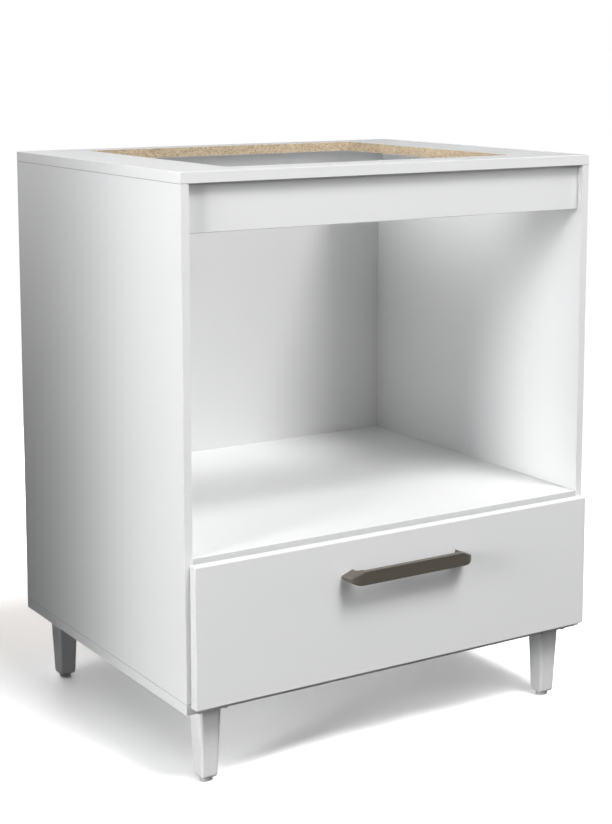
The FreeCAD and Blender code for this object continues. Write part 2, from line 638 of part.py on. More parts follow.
for name, side in SIDES:
    face = (-side, 0, 0)
    for share in ("Size.drawer_joint_low", "Size.drawer_joint_high"):
        z = "Place.running + %s * Size.drawer_height" % share
        at_drum = (signed(side, "Place.drawer_in"), "Place.front_back + Size.drum_reach", z)
        at_joint = (signed(side, "(Place.drawer_in + Size.drawer_board / 2)"), "Place.front_back", z)
        drawer_side_bores[side].extend(drum_bores("Size.drawer_board", at_drum, face, at_joint, (0, -1, 0)))
        drawer_front_bores.append(thread_bore(at_joint, (0, -1, 0)))
        drawer_drums.append(fitted_drum(drawer_drum, at_drum, face, (0, -1, 0)))
        drawer_bolts.append(facing_copy(bolt, at_joint, (0, -1, 0)))
        out = signed(side, "Place.drawer_out")
        inside = signed(side, "Place.drawer_in")
        drawer_side_bores[side].append(bore("Size.screw_head_radius + Size.screw_play", "Size.screw_head",
                                            (out, BACK_Y, z), face))
        drawer_side_bores[side].append(bore("Size.screw_radius + Size.screw_play", "Size.drawer_board",
                                            (out, BACK_Y, z), face))
        drawer_back_bores.append(bore("Size.screw_radius + Size.screw_play",
                                      "Size.back_screw_bite + Size.screw_play", (inside, BACK_Y, z), face))
        back_screws.append(facing_copy(back_screw, (signed(side, "(Place.drawer_out - Size.screw_head)"),
                                                    BACK_Y, z), face))

for name, side in SIDES:
    low_x, high_x = sorted((signed(side, "Place.drawer_in"), signed(side, "Place.drawer_out")), key=value)
    board = panel("DrawerSide" + name.title(), "X", (low_x, "Place.front_back", "Place.running"),
                  (high_x, "Place.drawer_rear", DRAWER_TOP))
    wall = signed(side, "Place.drawer_in")
    bed = signed(side, "(Place.drawer_in + Size.groove_depth)")
    low_x, high_x = sorted((wall, bed), key=value)
    board = groove(board, (low_x, "Place.front_back", "Place.sheet_low"),
                   (high_x, "Place.drawer_rear", "Place.sheet_top"))
    node(drilled(board, drawer_side_bores[side], "DrawerSide" + name.title()), "drawer_side_" + name)

board = panel("DrawerBack", "Y",
              ("-Place.drawer_in", "Place.drawer_rear - Size.drawer_board", "Place.sheet_top"),
              ("Place.drawer_in", "Place.drawer_rear", BACK_TOP))
node(drilled(board, drawer_back_bores, "DrawerBack"), "drawer_back")

SHEET_HALF = "(Place.drawer_in + Size.groove_depth - Size.groove_play)"
sheet_low = ("-" + SHEET_HALF, "Place.front_back - Size.groove_depth + Size.groove_play",
             "Place.sheet_low + Size.groove_play")
sheet = doc.addObject("Part::Box", "DrawerSheet")
bind(sheet, {"Length": "2 * " + SHEET_HALF, "Height": "Size.drawer_sheet",
             "Width": "Size.drawer_length + Size.groove_depth - Size.groove_play"})
node(put(sheet, sheet_low), "drawer_bottom")

for side in (-1, 1):
    at_hole = (signed(side, "Size.handle_pitch / 2"), "Place.front_back", HANDLE_Z)
    drawer_front_bores.append(bore("Size.handle_screw_radius + Size.bolt_play", "Size.board", at_hole,
                                   (0, -1, 0)))
board = panel("DrawerFront", "Y", ("-Place.front_half", "Place.front_face", "Place.front_low"),
              ("Place.front_half", "Place.front_back", "Place.front_top"), "Size.front_break")
board = groove(board, ("-" + SHEET_HALF, "Place.front_back - Size.groove_depth", "Place.sheet_low"),
               (SHEET_HALF, "Place.front_back", "Place.sheet_top"))
node(drilled(board, drawer_front_bores, "DrawerFront"), "drawer_front")

group("drawer_cams", drawer_drums)
group("drawer_cam_bolts", drawer_bolts)
group("drawer_back_screws", back_screws)


# Handle: the plan gives the bow, the elevation gives the sloped shoulders and round lower corners

def handle():
    half = "Size.handle_length / 2"
    inner = "(Size.handle_length / 2 - Size.handle_foot)"
    plan, bow = section("HandlePlan", "XY", [
        ("-" + half, "Place.front_face"), ("-" + half, "Place.handle_front"), (half, "Place.handle_front"),
        (half, "Place.front_face"), (inner, "Place.front_face"), (inner, "Place.handle_back"),
        ("-" + inner, "Place.handle_back"), ("-" + inner, "Place.front_face")],
        "Place.handle_low", "Size.handle_height")
    upright = value("Size.handle_height")
    outer_y = value("Place.handle_front")
    inner_y = value("Place.handle_back")
    corners = edges_where(bow, lambda a, b: abs(a.z - b.z) > upright / 2 and abs(a.y - outer_y) < TOLERANCE)
    bent = dress(plan, "Fillet", bow, corners, "Size.handle_corner")
    corners = edges_where(bent, lambda a, b: abs(a.z - b.z) > upright / 2 and abs(a.y - inner_y) < TOLERANCE)
    dress(plan, "Fillet", bent, corners, "Size.handle_scoop")
    slope = "(Size.handle_length / 2 - Size.handle_end_slope)"
    shoulder = "Place.handle_top - Size.handle_end_drop"
    elevation, blank = section("HandleElevation", "XZ", [
        ("-" + half, "Place.handle_low"), (half, "Place.handle_low"), (half, shoulder),
        (slope, "Place.handle_top"), ("-" + slope, "Place.handle_top"), ("-" + half, shoulder)],
        "-Place.front_face", "Size.handle_projection")
    low = value("Place.handle_low")
    reach = value("Size.handle_projection")
    corners = edges_where(blank, lambda a, b: abs(a.y - b.y) > reach / 2 and abs(a.z - low) < TOLERANCE)
    dress(elevation, "Fillet", blank, corners, "Size.handle_end_round")
    bar = doc.addObject("Part::Common", "HandleBar")
    bar.Base = plan
    bar.Tool = elevation
    holes = [bore("Size.handle_screw_radius + Size.handle_screw_play",
                  "Size.handle_screw_bite + Size.bolt_play",
                  (signed(side, "Size.handle_pitch / 2"), "Place.front_face", HANDLE_Z), (0, -1, 0))
             for side in (-1, 1)]
    return node(drilled(bar, holes, "Handle"), "handle")


handle()
handle_screw = screw("HandleScrew", "Size.handle_screw_head_radius", "Size.pan_head",
                     "Size.handle_screw_radius", "Size.board + Size.handle_screw_bite")
group("handle_screws", [facing_copy(handle_screw, (signed(side, "Size.handle_pitch / 2"), "Place.front_back",
                                                   HANDLE_Z), (0, -1, 0)) for side in (-1, 1)])


# Carcass boards

for name, side in SIDES:
    low_x, high_x = sorted((signed(side, "Place.side_in"), signed(side, "Size.body_width / 2")), key=value)
    board = panel("Side" + name.title(), "X", (low_x, "Place.front", "Place.floor_top"),
                  (high_x, "Place.rear", "Place.top_under"))
    node(drilled(board, side_bores[side], "Side" + name.title()), "side_panel_" + name)

board = panel("Bottom", "Z", ("-Size.body_width / 2", "Place.front", "Place.base"),
              ("Size.body_width / 2", "Place.rear", "Place.floor_top"))
node(drilled(board, board_bores["bottom"], "Bottom"), "bottom_panel")

board = panel("Shelf", "Z", ("-Place.side_in", "Place.front", "Place.shelf_under"),
              ("Place.side_in", "Place.rear", "Place.shelf_top"))
node(drilled(board, board_bores["shelf"], "Shelf"), "niche_shelf")

board = panel("Apron", "Y", ("-Place.side_in", "Place.front + Size.apron_setback", "Place.apron_low"),
              ("Place.side_in", APRON_BACK, "Place.top_under"))
node(drilled(board, board_bores["apron"], "Apron"), "front_apron")

board = panel("RearRail", "Y", ("-Place.side_in", REAR_RAIL_FRONT, "Place.rear_rail_low"),
              ("Place.side_in", "Place.rear", "Place.top_under"))
node(drilled(board, board_bores["rear_rail"], "RearRail"), "rear_rail")

BACK_HALF = "(Size.body_width / 2 - Size.back_margin)"
back = doc.addObject("Part::Box", "BackSheet")
bind(back, {"Length": "2 * " + BACK_HALF, "Width": "Size.back_board",
            "Height": "Size.body_height - 2 * Size.back_margin"})
node(put(back, ("-" + BACK_HALF, "Place.rear", "Place.base + Size.back_margin")), "back_panel")


def worktop():
    """The top board, with an opening that has rounded corners."""
    body = panel("Worktop", "Z", ("-Size.body_width / 2", "Place.front", "Place.top_under"),
                 ("Size.body_width / 2", "Place.rear", "Place.top_under + Size.board"))
    half = "(Size.body_width / 2 - Size.cutout_side_margin)"
    opening = rectangle(new_sketch(body, "XY", "Place.top_under"),
                        ("-" + half, "Place.front + Size.cutout_front_margin"),
                        (half, "Place.rear - Size.cutout_rear_margin"))
    cut = extrude(body, "Pocket", opening, "Size.board", True)
    corners = edges_where(cut, lambda a, b: abs(a.z - b.z) > value("Size.board") / 2
                          and abs(abs(a.x) - value(half)) < TOLERANCE)
    dress(body, "Fillet", cut, corners, "Size.cutout_corner")
    return node(drilled(body, board_bores["top"], "Worktop"), "top_panel")


worktop()

group("carcass_cams", carcass_drums)
group("carcass_cam_bolts", carcass_bolts)
group("carcass_dowels", carcass_dowels)
group("base_screws", base_screws)


# Nails that hold the back sheet to the edges of the sides, the bottom and the shelf

nail = fastener("Nail", [("Size.nail_head_radius", "-Size.nail_head", "0"),
                         ("Size.nail_radius", "-Size.nail_length", "-Size.nail_head")])
NAIL_STATIONS = ("Size.nail_first", "Size.nail_second", "Size.nail_third", "Size.nail_last")
NAIL_Y = "Place.rear + Size.back_board + Size.nail_head"
nails = []
for name, side in SIDES:
    x = signed(side, "(Place.side_in + Size.side_board / 2)")
    for share in NAIL_STATIONS:
        nails.append(facing_copy(nail, (x, NAIL_Y, "Place.base + %s * Size.body_height" % share), (0, 1, 0)))
for z in ("Place.base + Size.board / 2", SHELF_Z, "Place.top_under + Size.board / 2"):
    for side in (-1, 1):
        x = signed(side, "Size.nail_across * Size.body_width")
        nails.append(facing_copy(nail, (x, NAIL_Y, z), (0, 1, 0)))
group("back_nails", nails)


doc.recompute()
for item in doc.Objects:
    if "Invalid" in item.State or "Error" in item.State:
        raise RuntimeError("%s did not build: %s" % (item.Label, item.State))
for item in nodes:
    if item.Shape.isNull() or not item.Shape.isValid() or not item.Shape.Solids:
        raise RuntimeError("%s has no valid solid" % item.Label)

os.makedirs("parts", exist_ok=True)
for item in nodes:
    item.Shape.exportStep("parts/%s.step" % item.Label)
print("%d nodes, %d solids" % (len(nodes), sum(len(item.Shape.Solids) for item in nodes)))
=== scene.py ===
import math

import bmesh
import bpy
from mathutils import Matrix, Vector


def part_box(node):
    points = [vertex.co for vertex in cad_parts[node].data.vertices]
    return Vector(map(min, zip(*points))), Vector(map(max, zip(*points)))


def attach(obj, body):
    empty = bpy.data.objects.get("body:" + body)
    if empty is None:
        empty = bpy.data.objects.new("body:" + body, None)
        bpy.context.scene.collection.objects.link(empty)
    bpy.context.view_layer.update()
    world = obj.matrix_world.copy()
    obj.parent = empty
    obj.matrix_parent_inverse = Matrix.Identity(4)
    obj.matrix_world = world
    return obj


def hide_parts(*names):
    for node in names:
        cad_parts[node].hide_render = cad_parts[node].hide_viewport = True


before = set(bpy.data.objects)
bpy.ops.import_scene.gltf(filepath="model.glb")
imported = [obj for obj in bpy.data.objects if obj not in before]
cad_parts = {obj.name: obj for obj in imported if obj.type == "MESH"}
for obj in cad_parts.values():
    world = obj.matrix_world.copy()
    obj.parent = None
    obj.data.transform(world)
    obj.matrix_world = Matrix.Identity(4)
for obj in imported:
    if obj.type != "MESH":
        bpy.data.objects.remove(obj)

# A white base cabinet: an opening in the worktop, an open niche above one drawer on roller slides,
# four tapered legs and a dark bow handle.
# Metres. X is the width, -Y the front, +Z up. The origin is the middle of the footprint on the floor.

scene = bpy.context.scene
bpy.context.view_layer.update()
MM = 0.001
SAME_PLACE = 0.00001  # corners nearer than this are at one place
MERGE_DISTANCE = 0.000001
SIDES = (("left", -1), ("right", 1))
UP = Vector((0, 0, 1))
DOWN = Vector((0, 0, -1))
BACKWARD = Vector((0, 1, 0))

# the worktop's opening, as its walls stand
OPENING_LOW = Vector((-0.240, -0.186, 0.815))
OPENING_HIGH = Vector((0.240, 0.244, 0.830))
LAMINATE_SKIN = 0.3 * MM
# the side panels stand between these heights, outside this distance from the middle
SIDE_INNER_FACE = 0.3281
SIDE_JOINTS = (0.125, 0.815)


# Finishes. Each one is a node material that reads Object coordinates.

def node_for(tree, kind, settings=None, **inputs):
    """A node with its settings and its inputs.

    An input is given by its name, or as i0, i1 and so on by its place; it is a number, a colour or another
    node's output.
    """
    node = tree.nodes.new("ShaderNode" + kind)
    for name, setting in (settings or {}).items():
        setattr(node, name, setting)
    for name, given in inputs.items():
        socket = node.inputs[int(name[1:])] if name[1:].isdigit() else node.inputs[name.replace("_", " ")]
        if isinstance(given, bpy.types.NodeSocket):
            tree.links.new(given, socket)
        else:
            socket.default_value = given
    return node


def math_of(tree, operation, first, second=0.0):
    return node_for(tree, "Math", {"operation": operation}, i0=first, i1=second).outputs[0]


def blend_of(tree, share, low, high):
    """A colour between two, by a share from 0 to 1."""
    mix = node_for(tree, "Mix", {"data_type": "RGBA"}, i0=share, i6=low, i7=high)
    return mix.outputs[2]


def spread(tree, source, low, high, out_low=0.0, out_high=1.0):
    """A value taken from one range to another, and held inside it."""
    return node_for(tree, "MapRange", Value=source, From_Min=low, From_Max=high, To_Min=out_low,
                    To_Max=out_high).outputs[0]


def noise(tree, place, scale, detail=2.0, roughness=0.5):
    return node_for(tree, "TexNoise", Vector=place, Scale=scale, Detail=detail,
                    Roughness=roughness).outputs["Fac"]


def stretched(tree, place, scales):
    """Coordinates scaled along each axis, for a pattern with a direction."""
    return node_for(tree, "Mapping", Vector=place, Scale=scales).outputs[0]


def new_finish(name):
    """An empty node material; returns it with its tree, its shader and its Object coordinates."""
    material = bpy.data.materials.new(name)
    material.use_nodes = True
    tree = material.node_tree
    shader = tree.nodes["Principled BSDF"]
    place = tree.nodes.new("ShaderNodeTexCoord").outputs["Object"]
    return material, tree, shader, place


def raise_surface(tree, shader, height, distance, strength):
    bump = node_for(tree, "Bump", Height=height, Distance=distance, Strength=strength)
    tree.links.new(bump.outputs[0], shader.inputs["Normal"])


def between(tree, value, low, high):
    """1 where a value lies between two limits."""
    return math_of(tree, "MULTIPLY", math_of(tree, "GREATER_THAN", value, low),
                   math_of(tree, "LESS_THAN", value, high))


def particle_core(tree, place):
    """The colour and height of bare particle board: pressed chips, coarse and fine."""
    chips = node_for(tree, "TexVoronoi", Vector=stretched(tree, place, (1, 1, 1.6)), Scale=420.0,
                     Randomness=1.0)
    grain = noise(tree, place, 900.0, detail=4.0, roughness=0.65)
    shade = node_for(tree, "SeparateColor", Color=chips.outputs["Color"]).outputs[0]
    tint = node_for(tree, "ValToRGB", Fac=shade)
    ramp = tint.color_ramp
    ramp.elements[0].color = (0.27, 0.19, 0.115, 1)
    ramp.elements[1].color = (0.72, 0.60, 0.43, 1)
    middle = ramp.elements.new(0.4)
    middle.color = (0.52, 0.40, 0.265, 1)
    colour = blend_of(tree, spread(tree, grain, 0.35, 0.7, 0.0, 0.55), tint.outputs[0], (0.62, 0.50, 0.345, 1))
    height = math_of(tree, "ADD", math_of(tree, "MULTIPLY", chips.outputs["Distance"], -1.0), grain)
    return colour, height


# a joint's painted dark line, partly painted shade of its gap and partly dirt, fades out between these
# distances
JOINT_SHADE_FADE = (0.25 * MM, 0.7 * MM)
JOINT_SHADE = 0.62  # how much of the line's colour shows in its middle
# the painted shade on a front edge, a greyer white, ends between these depths behind the edge
PAINTED_SHADE_EDGE_FADE = (0.2 * MM, 0.4 * MM)
# how much rougher the bare core is than the laminate, and how strong its relief
CORE_ROUGHNESS = 0.4
CORE_RELIEF = 6.0


def white_laminate(name, raw=(), joints=(), painted_shade_edge=None):
    """Satin white melamine with a fine pore.

    raw gives the boxes inside which the bare board core shows, joints the heights at which the side panels
    meet another board, where a fine dark line is painted, partly painted shade of the joint's gap and partly
    the dirt in it, and the last argument the place of a front edge painted a greyer white: painted shade.
    """
    material, tree, shader, place = new_finish(name)
    cloud = noise(tree, place, 2.4, detail=3.0)
    pore = noise(tree, stretched(tree, place, (1.0, 1.0, 0.55)), 1500.0, detail=3.0, roughness=0.6)
    handling = noise(tree, place, 14.0, detail=4.0, roughness=0.55)
    colour = blend_of(tree, cloud, (0.815, 0.82, 0.823, 1), (0.84, 0.843, 0.843, 1))
    gloss = math_of(tree, "ADD", spread(tree, handling, 0.3, 0.7, 0.36, 0.43),
                    spread(tree, pore, 0.3, 0.7, -0.02, 0.03))
    height = pore
    where = node_for(tree, "SeparateXYZ", Vector=place).outputs
    at_side = math_of(tree, "GREATER_THAN", math_of(tree, "ABSOLUTE", where[0]), SIDE_INNER_FACE)
    # a fine dark line painted at each joint: partly painted shade of the gap between the boards, partly dirt
    for level in joints:
        away = math_of(tree, "ABSOLUTE", math_of(tree, "SUBTRACT", where[2], level))
        line = math_of(tree, "MULTIPLY", at_side, spread(tree, away, *JOINT_SHADE_FADE, JOINT_SHADE, 0.0))
        colour = blend_of(tree, line, colour, (0.16, 0.16, 0.155, 1))
    # a front edge painted a greyer white: painted shade
    if painted_shade_edge is not None:
        at_painted_shade_edge = spread(tree, where[1], *(painted_shade_edge + depth for depth in PAINTED_SHADE_EDGE_FADE), 1.0, 0.0)
        colour = blend_of(tree, at_painted_shade_edge, colour, (0.58, 0.585, 0.587, 1))
    if raw:
        core, core_height = particle_core(tree, place)
    for low, high in raw:
        inside = 1.0
        for axis in range(3):
            inside = math_of(tree, "MULTIPLY", inside, between(tree, where[axis], low[axis], high[axis]))
        colour = blend_of(tree, inside, colour, core)
        gloss = math_of(tree, "ADD", gloss, math_of(tree, "MULTIPLY", inside, CORE_ROUGHNESS))
        relief = math_of(tree, "MULTIPLY", core_height, inside)
        height = math_of(tree, "ADD", height, math_of(tree, "MULTIPLY", relief, CORE_RELIEF))
    tree.links.new(colour, shader.inputs["Base Color"])
    tree.links.new(gloss, shader.inputs["Roughness"])
    shader.inputs["Specular IOR Level"].default_value = 0.42
    raise_surface(tree, shader, height, distance=0.00005, strength=0.5)
    return material


SCREEN_PITCH = 0.0016  # of the press's wire screen, in metres


def hardboard(name, axis, middle, brown_above):
    """Pressed fibreboard: white lacquer on one side of its middle plane, brown fibre on the other."""
    material, tree, shader, place = new_finish(name)
    fibre = noise(tree, place, 700.0, detail=6.0, roughness=0.7)
    cloud = noise(tree, place, 9.0, detail=4.0)
    brown = blend_of(tree, fibre, (0.20, 0.118, 0.060, 1), (0.36, 0.235, 0.135, 1))
    brown = blend_of(tree, spread(tree, cloud, 0.35, 0.65, 0.0, 0.35), brown, (0.25, 0.155, 0.085, 1))
    lacquer = blend_of(tree, cloud, (0.79, 0.795, 0.795, 1), (0.82, 0.822, 0.82, 1))
    where = node_for(tree, "SeparateXYZ", Vector=place).outputs
    side = math_of(tree, "GREATER_THAN" if brown_above else "LESS_THAN", where[axis], middle)
    colour = blend_of(tree, side, lacquer, brown)
    # the wire screen of the press leaves a fine weave in the brown side
    wires = [math_of(tree, "SINE", math_of(tree, "MULTIPLY", where[number], 2 * math.pi / SCREEN_PITCH))
             for number in range(3) if number != axis]
    weave = math_of(tree, "MULTIPLY", *wires)
    height = math_of(tree, "ADD", fibre, math_of(tree, "MULTIPLY", weave, side))
    tree.links.new(colour, shader.inputs["Base Color"])
    tree.links.new(math_of(tree, "ADD", 0.42, math_of(tree, "MULTIPLY", side, 0.3)), shader.inputs["Roughness"])
    raise_surface(tree, shader, height, distance=0.00008, strength=0.5)
    return material


def moulded_plastic(name, dark, light, gloss, spark, depth):
    """Injection-moulded plastic with the fine spark texture of its mould and a faint flow cloud."""
    material, tree, shader, place = new_finish(name)
    cloud = noise(tree, place, 30.0, detail=3.0)
    texture = noise(tree, place, spark, detail=3.0, roughness=0.6)
    tree.links.new(blend_of(tree, cloud, dark, light), shader.inputs["Base Color"])
    tree.links.new(spread(tree, texture, 0.3, 0.7, gloss - 0.05, gloss + 0.06), shader.inputs["Roughness"])
    raise_surface(tree, shader, texture, distance=depth, strength=0.5)
    return material


def coated_steel(name):
    """White epoxy powder coat on sheet steel, with its orange peel."""
    material, tree, shader, place = new_finish(name)
    peel = noise(tree, place, 420.0, detail=2.0)
    cloud = noise(tree, place, 12.0, detail=3.0)
    rub = noise(tree, stretched(tree, place, (60.0, 2.5, 60.0)), 6.0, detail=5.0, roughness=0.6)
    colour = blend_of(tree, cloud, (0.74, 0.745, 0.75, 1), (0.79, 0.792, 0.79, 1))
    colour = blend_of(tree, spread(tree, rub, 0.58, 0.8, 0.0, 0.4), colour, (0.60, 0.60, 0.595, 1))
    tree.links.new(colour, shader.inputs["Base Color"])
    tree.links.new(spread(tree, rub, 0.3, 0.8, 0.27, 0.42), shader.inputs["Roughness"])
    raise_surface(tree, shader, peel, distance=0.00006, strength=0.4)
    return material


def zinc_plate(name):
    """Bright zinc with the faint clouding and scratches of bulk plating."""
    material, tree, shader, place = new_finish(name)
    cloud = noise(tree, place, 160.0, detail=4.0)
    scratch = noise(tree, stretched(tree, place, (1.0, 1.0, 9.0)), 380.0, detail=5.0, roughness=0.7)
    tree.links.new(blend_of(tree, cloud, (0.46, 0.47, 0.49, 1), (0.62, 0.63, 0.64, 1)),
                   shader.inputs["Base Color"])
    tree.links.new(spread(tree, scratch, 0.3, 0.7, 0.24, 0.42), shader.inputs["Roughness"])
    shader.inputs["Metallic"].default_value = 1.0
    raise_surface(tree, shader, scratch, distance=0.00003, strength=0.4)
    return material


def handle_coat(name):
    """A dark taupe metallic lacquer: fine flakes, a satin clear coat."""
    material, tree, shader, place = new_finish(name)
    flakes = node_for(tree, "TexVoronoi", Vector=place, Scale=2600.0, Randomness=1.0)
    flake = node_for(tree, "SeparateColor", Color=flakes.outputs["Color"]).outputs[0]
    cloud = noise(tree, place, 40.0, detail=3.0)
    colour = blend_of(tree, flake, (0.118, 0.103, 0.084, 1), (0.172, 0.150, 0.122, 1))
    colour = blend_of(tree, spread(tree, cloud, 0.3, 0.7, 0.0, 0.3), colour, (0.134, 0.117, 0.095, 1))
    tree.links.new(colour, shader.inputs["Base Color"])
    tree.links.new(spread(tree, cloud, 0.3, 0.7, 0.36, 0.44), shader.inputs["Roughness"])
    shader.inputs["Metallic"].default_value = 0.35
    raise_surface(tree, shader, noise(tree, place, 1800.0, detail=2.0), distance=0.00003, strength=0.35)
    return material


def beech(name):
    """Pale turned beech, its grain along the dowels."""
    material, tree, shader, place = new_finish(name)
    grain = noise(tree, stretched(tree, place, (12.0, 160.0, 160.0)), 6.0, detail=5.0, roughness=0.6)
    tree.links.new(blend_of(tree, grain, (0.42, 0.27, 0.145, 1), (0.66, 0.49, 0.31, 1)),
                   shader.inputs["Base Color"])
    shader.inputs["Roughness"].default_value = 0.6
    raise_surface(tree, shader, grain, distance=0.0001, strength=0.5)
    return material


FINISHES = {
    "leg": moulded_plastic("white_leg_plastic", (0.80, 0.803, 0.80, 1), (0.835, 0.838, 0.835, 1), 0.56, 1900.0,
                           0.00004),
    "nylon": moulded_plastic("nylon", (0.60, 0.60, 0.575, 1), (0.68, 0.678, 0.65, 1), 0.40, 900.0, 0.00003),
    "slide": coated_steel("slide_epoxy_coat"),
    "zinc": zinc_plate("zinc_plate"),
    "handle": handle_coat("handle_lacquer"),
    "beech": beech("beech"),
}


# Shaping

def polygon_face(bm, points):
    """A flat face from a few corners."""
    return bm.faces.new([bm.verts.new(point) for point in points])


def pull(bm, faces, way):
    """Extrude faces and move the new end by a vector; a lone sheet keeps its old face as its other end."""
    joined = any(face not in faces for old in faces for edge in old.edges for face in edge.link_faces)
    made = bmesh.ops.extrude_face_region(bm, geom=faces)["geom"]
    corners = [item for item in made if isinstance(item, bmesh.types.BMVert)]
    bmesh.ops.translate(bm, vec=way, verts=corners)
    if joined:
        bmesh.ops.delete(bm, geom=faces, context="FACES")
    return [item for item in made if isinstance(item, bmesh.types.BMFace)]


def grow(bm, faces, factors, about):
    """Scale the corners of some faces about a point."""
    corners = list({corner for face in faces for corner in face.verts})
    bmesh.ops.scale(bm, vec=factors, verts=corners, space=Matrix.Translation(-Vector(about)))


def soften(bm, edges, size, segments):
    """Round some edges."""
    return bmesh.ops.bevel(bm, geom=list(edges), offset=size, offset_type="OFFSET", segments=segments,
                           profile=0.5, affect="EDGES", material=-1, clamp_overlap=True)


def sharp_edges(bm, degrees):
    return [edge for edge in bm.edges
            if len(edge.link_faces) == 2 and edge.calc_face_angle(0.0) > math.radians(degrees)]


def slice_off(bm, at, way):
    """Cut with a plane, drop what lies beyond it and close the cut."""
    whole = list(bm.verts) + list(bm.edges) + list(bm.faces)
    cut = bmesh.ops.bisect_plane(bm, geom=whole, plane_co=at, plane_no=way, clear_outer=True)["geom_cut"]
    rim = [item for item in cut if isinstance(item, bmesh.types.BMEdge)]
    if rim:
        bmesh.ops.holes_fill(bm, edges=rim, sides=0)


def turned(profile, segments, closed=False):
    """A turned shape about Z from (radius, height) pairs; closed joins the last pair to the first."""
    bm = bmesh.new()
    points = [bm.verts.new((radius, 0, height)) for radius, height in profile]
    runs = list(zip(points, points[1:])) + ([(points[-1], points[0])] if closed else [])
    edges = [bm.edges.new(run) for run in runs]
    bmesh.ops.spin(bm, geom=points + edges, cent=(0, 0, 0), axis=(0, 0, 1), dvec=(0, 0, 0),
                   angle=2 * math.pi, steps=segments, use_merge=True, use_duplicate=False)
    bmesh.ops.remove_doubles(bm, verts=bm.verts, dist=MERGE_DISTANCE)
    bmesh.ops.recalc_face_normals(bm, faces=bm.faces)
    return bm


# a driver recess: the reach and half width of its arms in shares of the face's radius, the taper to its floor,
# and the corners of the ring round it
RECESS_REACH = 0.78
RECESS_HALF_WIDTH = 0.24
RECESS_TAPER = 0.55
RECESS_CORNERS = 12


def cross_recess(bm, radius, height, depth):
    """Close an open ring of twelve corners at the top of a head with a cross-shaped driver recess."""
    ring = [edge for edge in bm.edges
            if edge.is_boundary and all(abs(corner.co.z - height) < SAME_PLACE for corner in edge.verts)]
    reach, half = RECESS_REACH * radius, RECESS_HALF_WIDTH * radius
    outline = [(reach, half), (half, half), (half, reach), (-half, reach), (-half, half), (-reach, half),
               (-reach, -half), (-half, -half), (-half, -reach), (half, -reach), (half, -half), (reach, -half)]
    corners = [bm.verts.new((x, y, height)) for x, y in outline]
    cross = [bm.edges.new(pair) for pair in zip(corners, corners[1:] + corners[:1])]
    bmesh.ops.bridge_loops(bm, edges=ring + cross)
    walls = bmesh.ops.extrude_edge_only(bm, edges=cross)["geom"]
    low = [item for item in walls if isinstance(item, bmesh.types.BMVert)]
    bmesh.ops.translate(bm, vec=(0, 0, -depth), verts=low)
    bmesh.ops.scale(bm, vec=(RECESS_TAPER, RECESS_TAPER, 1), verts=low)
    bmesh.ops.edgeloop_fill(bm, edges=[item for item in walls if isinstance(item, bmesh.types.BMEdge)
                                       and all(corner in low for corner in item.verts)])


def placed(bm, at, outward):
    """A shape moved to put its origin at a point, its own +Z turned outward."""
    turn = UP.rotation_difference(Vector(outward)).to_matrix().to_4x4()
    bmesh.ops.transform(bm, matrix=Matrix.Translation(Vector(at)) @ turn, verts=bm.verts)
    return bm


def gathered(shapes):
    """Several shapes in one."""
    whole = bmesh.new()
    for shape in shapes:
        mesh = bpy.data.meshes.new("gathered")
        shape.to_mesh(mesh)
        whole.from_mesh(mesh)
        bpy.data.meshes.remove(mesh)
        shape.free()
    return whole


WIDE_FACE = 1e-4  # square metres
SMOOTH_ANGLE = 38  # degrees


def new_piece(bm, name, body, finish, replaced):
    """Make a shape a piece of the scene that rides on a body and stands for CAD nodes.

    A wide face is shaded flat, so that the rounding of its edges doesn't shade into it.
    """
    bmesh.ops.recalc_face_normals(bm, faces=bm.faces)
    mesh = bpy.data.meshes.new(name)
    bm.to_mesh(mesh)
    bm.free()
    mesh.shade_smooth()
    mesh.set_sharp_from_angle(angle=math.radians(SMOOTH_ANGLE))
    for face in mesh.polygons:
        face.use_smooth = face.area < WIDE_FACE
    mesh.materials.append(finish)
    piece = bpy.data.objects.new(name, mesh)
    scene.collection.objects.link(piece)
    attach(piece, body)
    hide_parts(*replaced)


def cad_shape(node):
    """A copy of a CAD node's shape, its corners joined."""
    bm = bmesh.new()
    bm.from_mesh(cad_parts[node].data)
    bmesh.ops.remove_doubles(bm, verts=bm.verts, dist=MERGE_DISTANCE)
    return bm


def separate_boxes(node):
    """The lowest and highest corner of each separate solid of a CAD node."""
    bm = cad_shape(node)
    waiting = set(bm.verts)
    boxes = []
    while waiting:
        reached = [waiting.pop()]
        for corner in reached:
            for edge in corner.link_edges:
                other = edge.other_vert(corner)
                if other in waiting:
                    waiting.remove(other)
                    reached.append(other)
        boxes.append(tuple(Vector([pick(corner.co[axis] for corner in reached) for axis in range(3)])
                           for pick in (min, max)))
    bm.free()
    return sorted(boxes, key=lambda box: tuple(round(number, 4) for number in box[0]))


def outer_end(box, outward):
    """The middle of a box's end that faces outward."""
    low, high = box
    centre = (low + high) / 2
    return centre + Vector([abs(high[axis] - low[axis]) / 2 * outward[axis] for axis in range(3)])


def sideways(box, inwards=True):
    """Left or right, towards the middle plane or away from it."""
    middle = (box[0].x + box[1].x) / 2
    return Vector((-math.copysign(1, middle) if inwards else math.copysign(1, middle), 0, 0))


# Screws, nails, dowels and cam fittings. Their own +Z points out of the board, with the outer end at zero.

THREAD_PITCH = 1.3 * MM
COARSE_PITCH = 2.0 * MM
BOLT_PITCH = 1.8 * MM
FINE_PITCH = 0.7 * MM
THREAD_CORE = 0.72  # of the shank's radius
PAN_FACE = 0.62  # the flat of a pan head, of the head's radius
FLAT_FACE = 0.66  # the same of a countersunk head


def in_metres(pairs):
    """Pairs given in millimetres."""
    return [(first * MM, second * MM) for first, second in pairs]


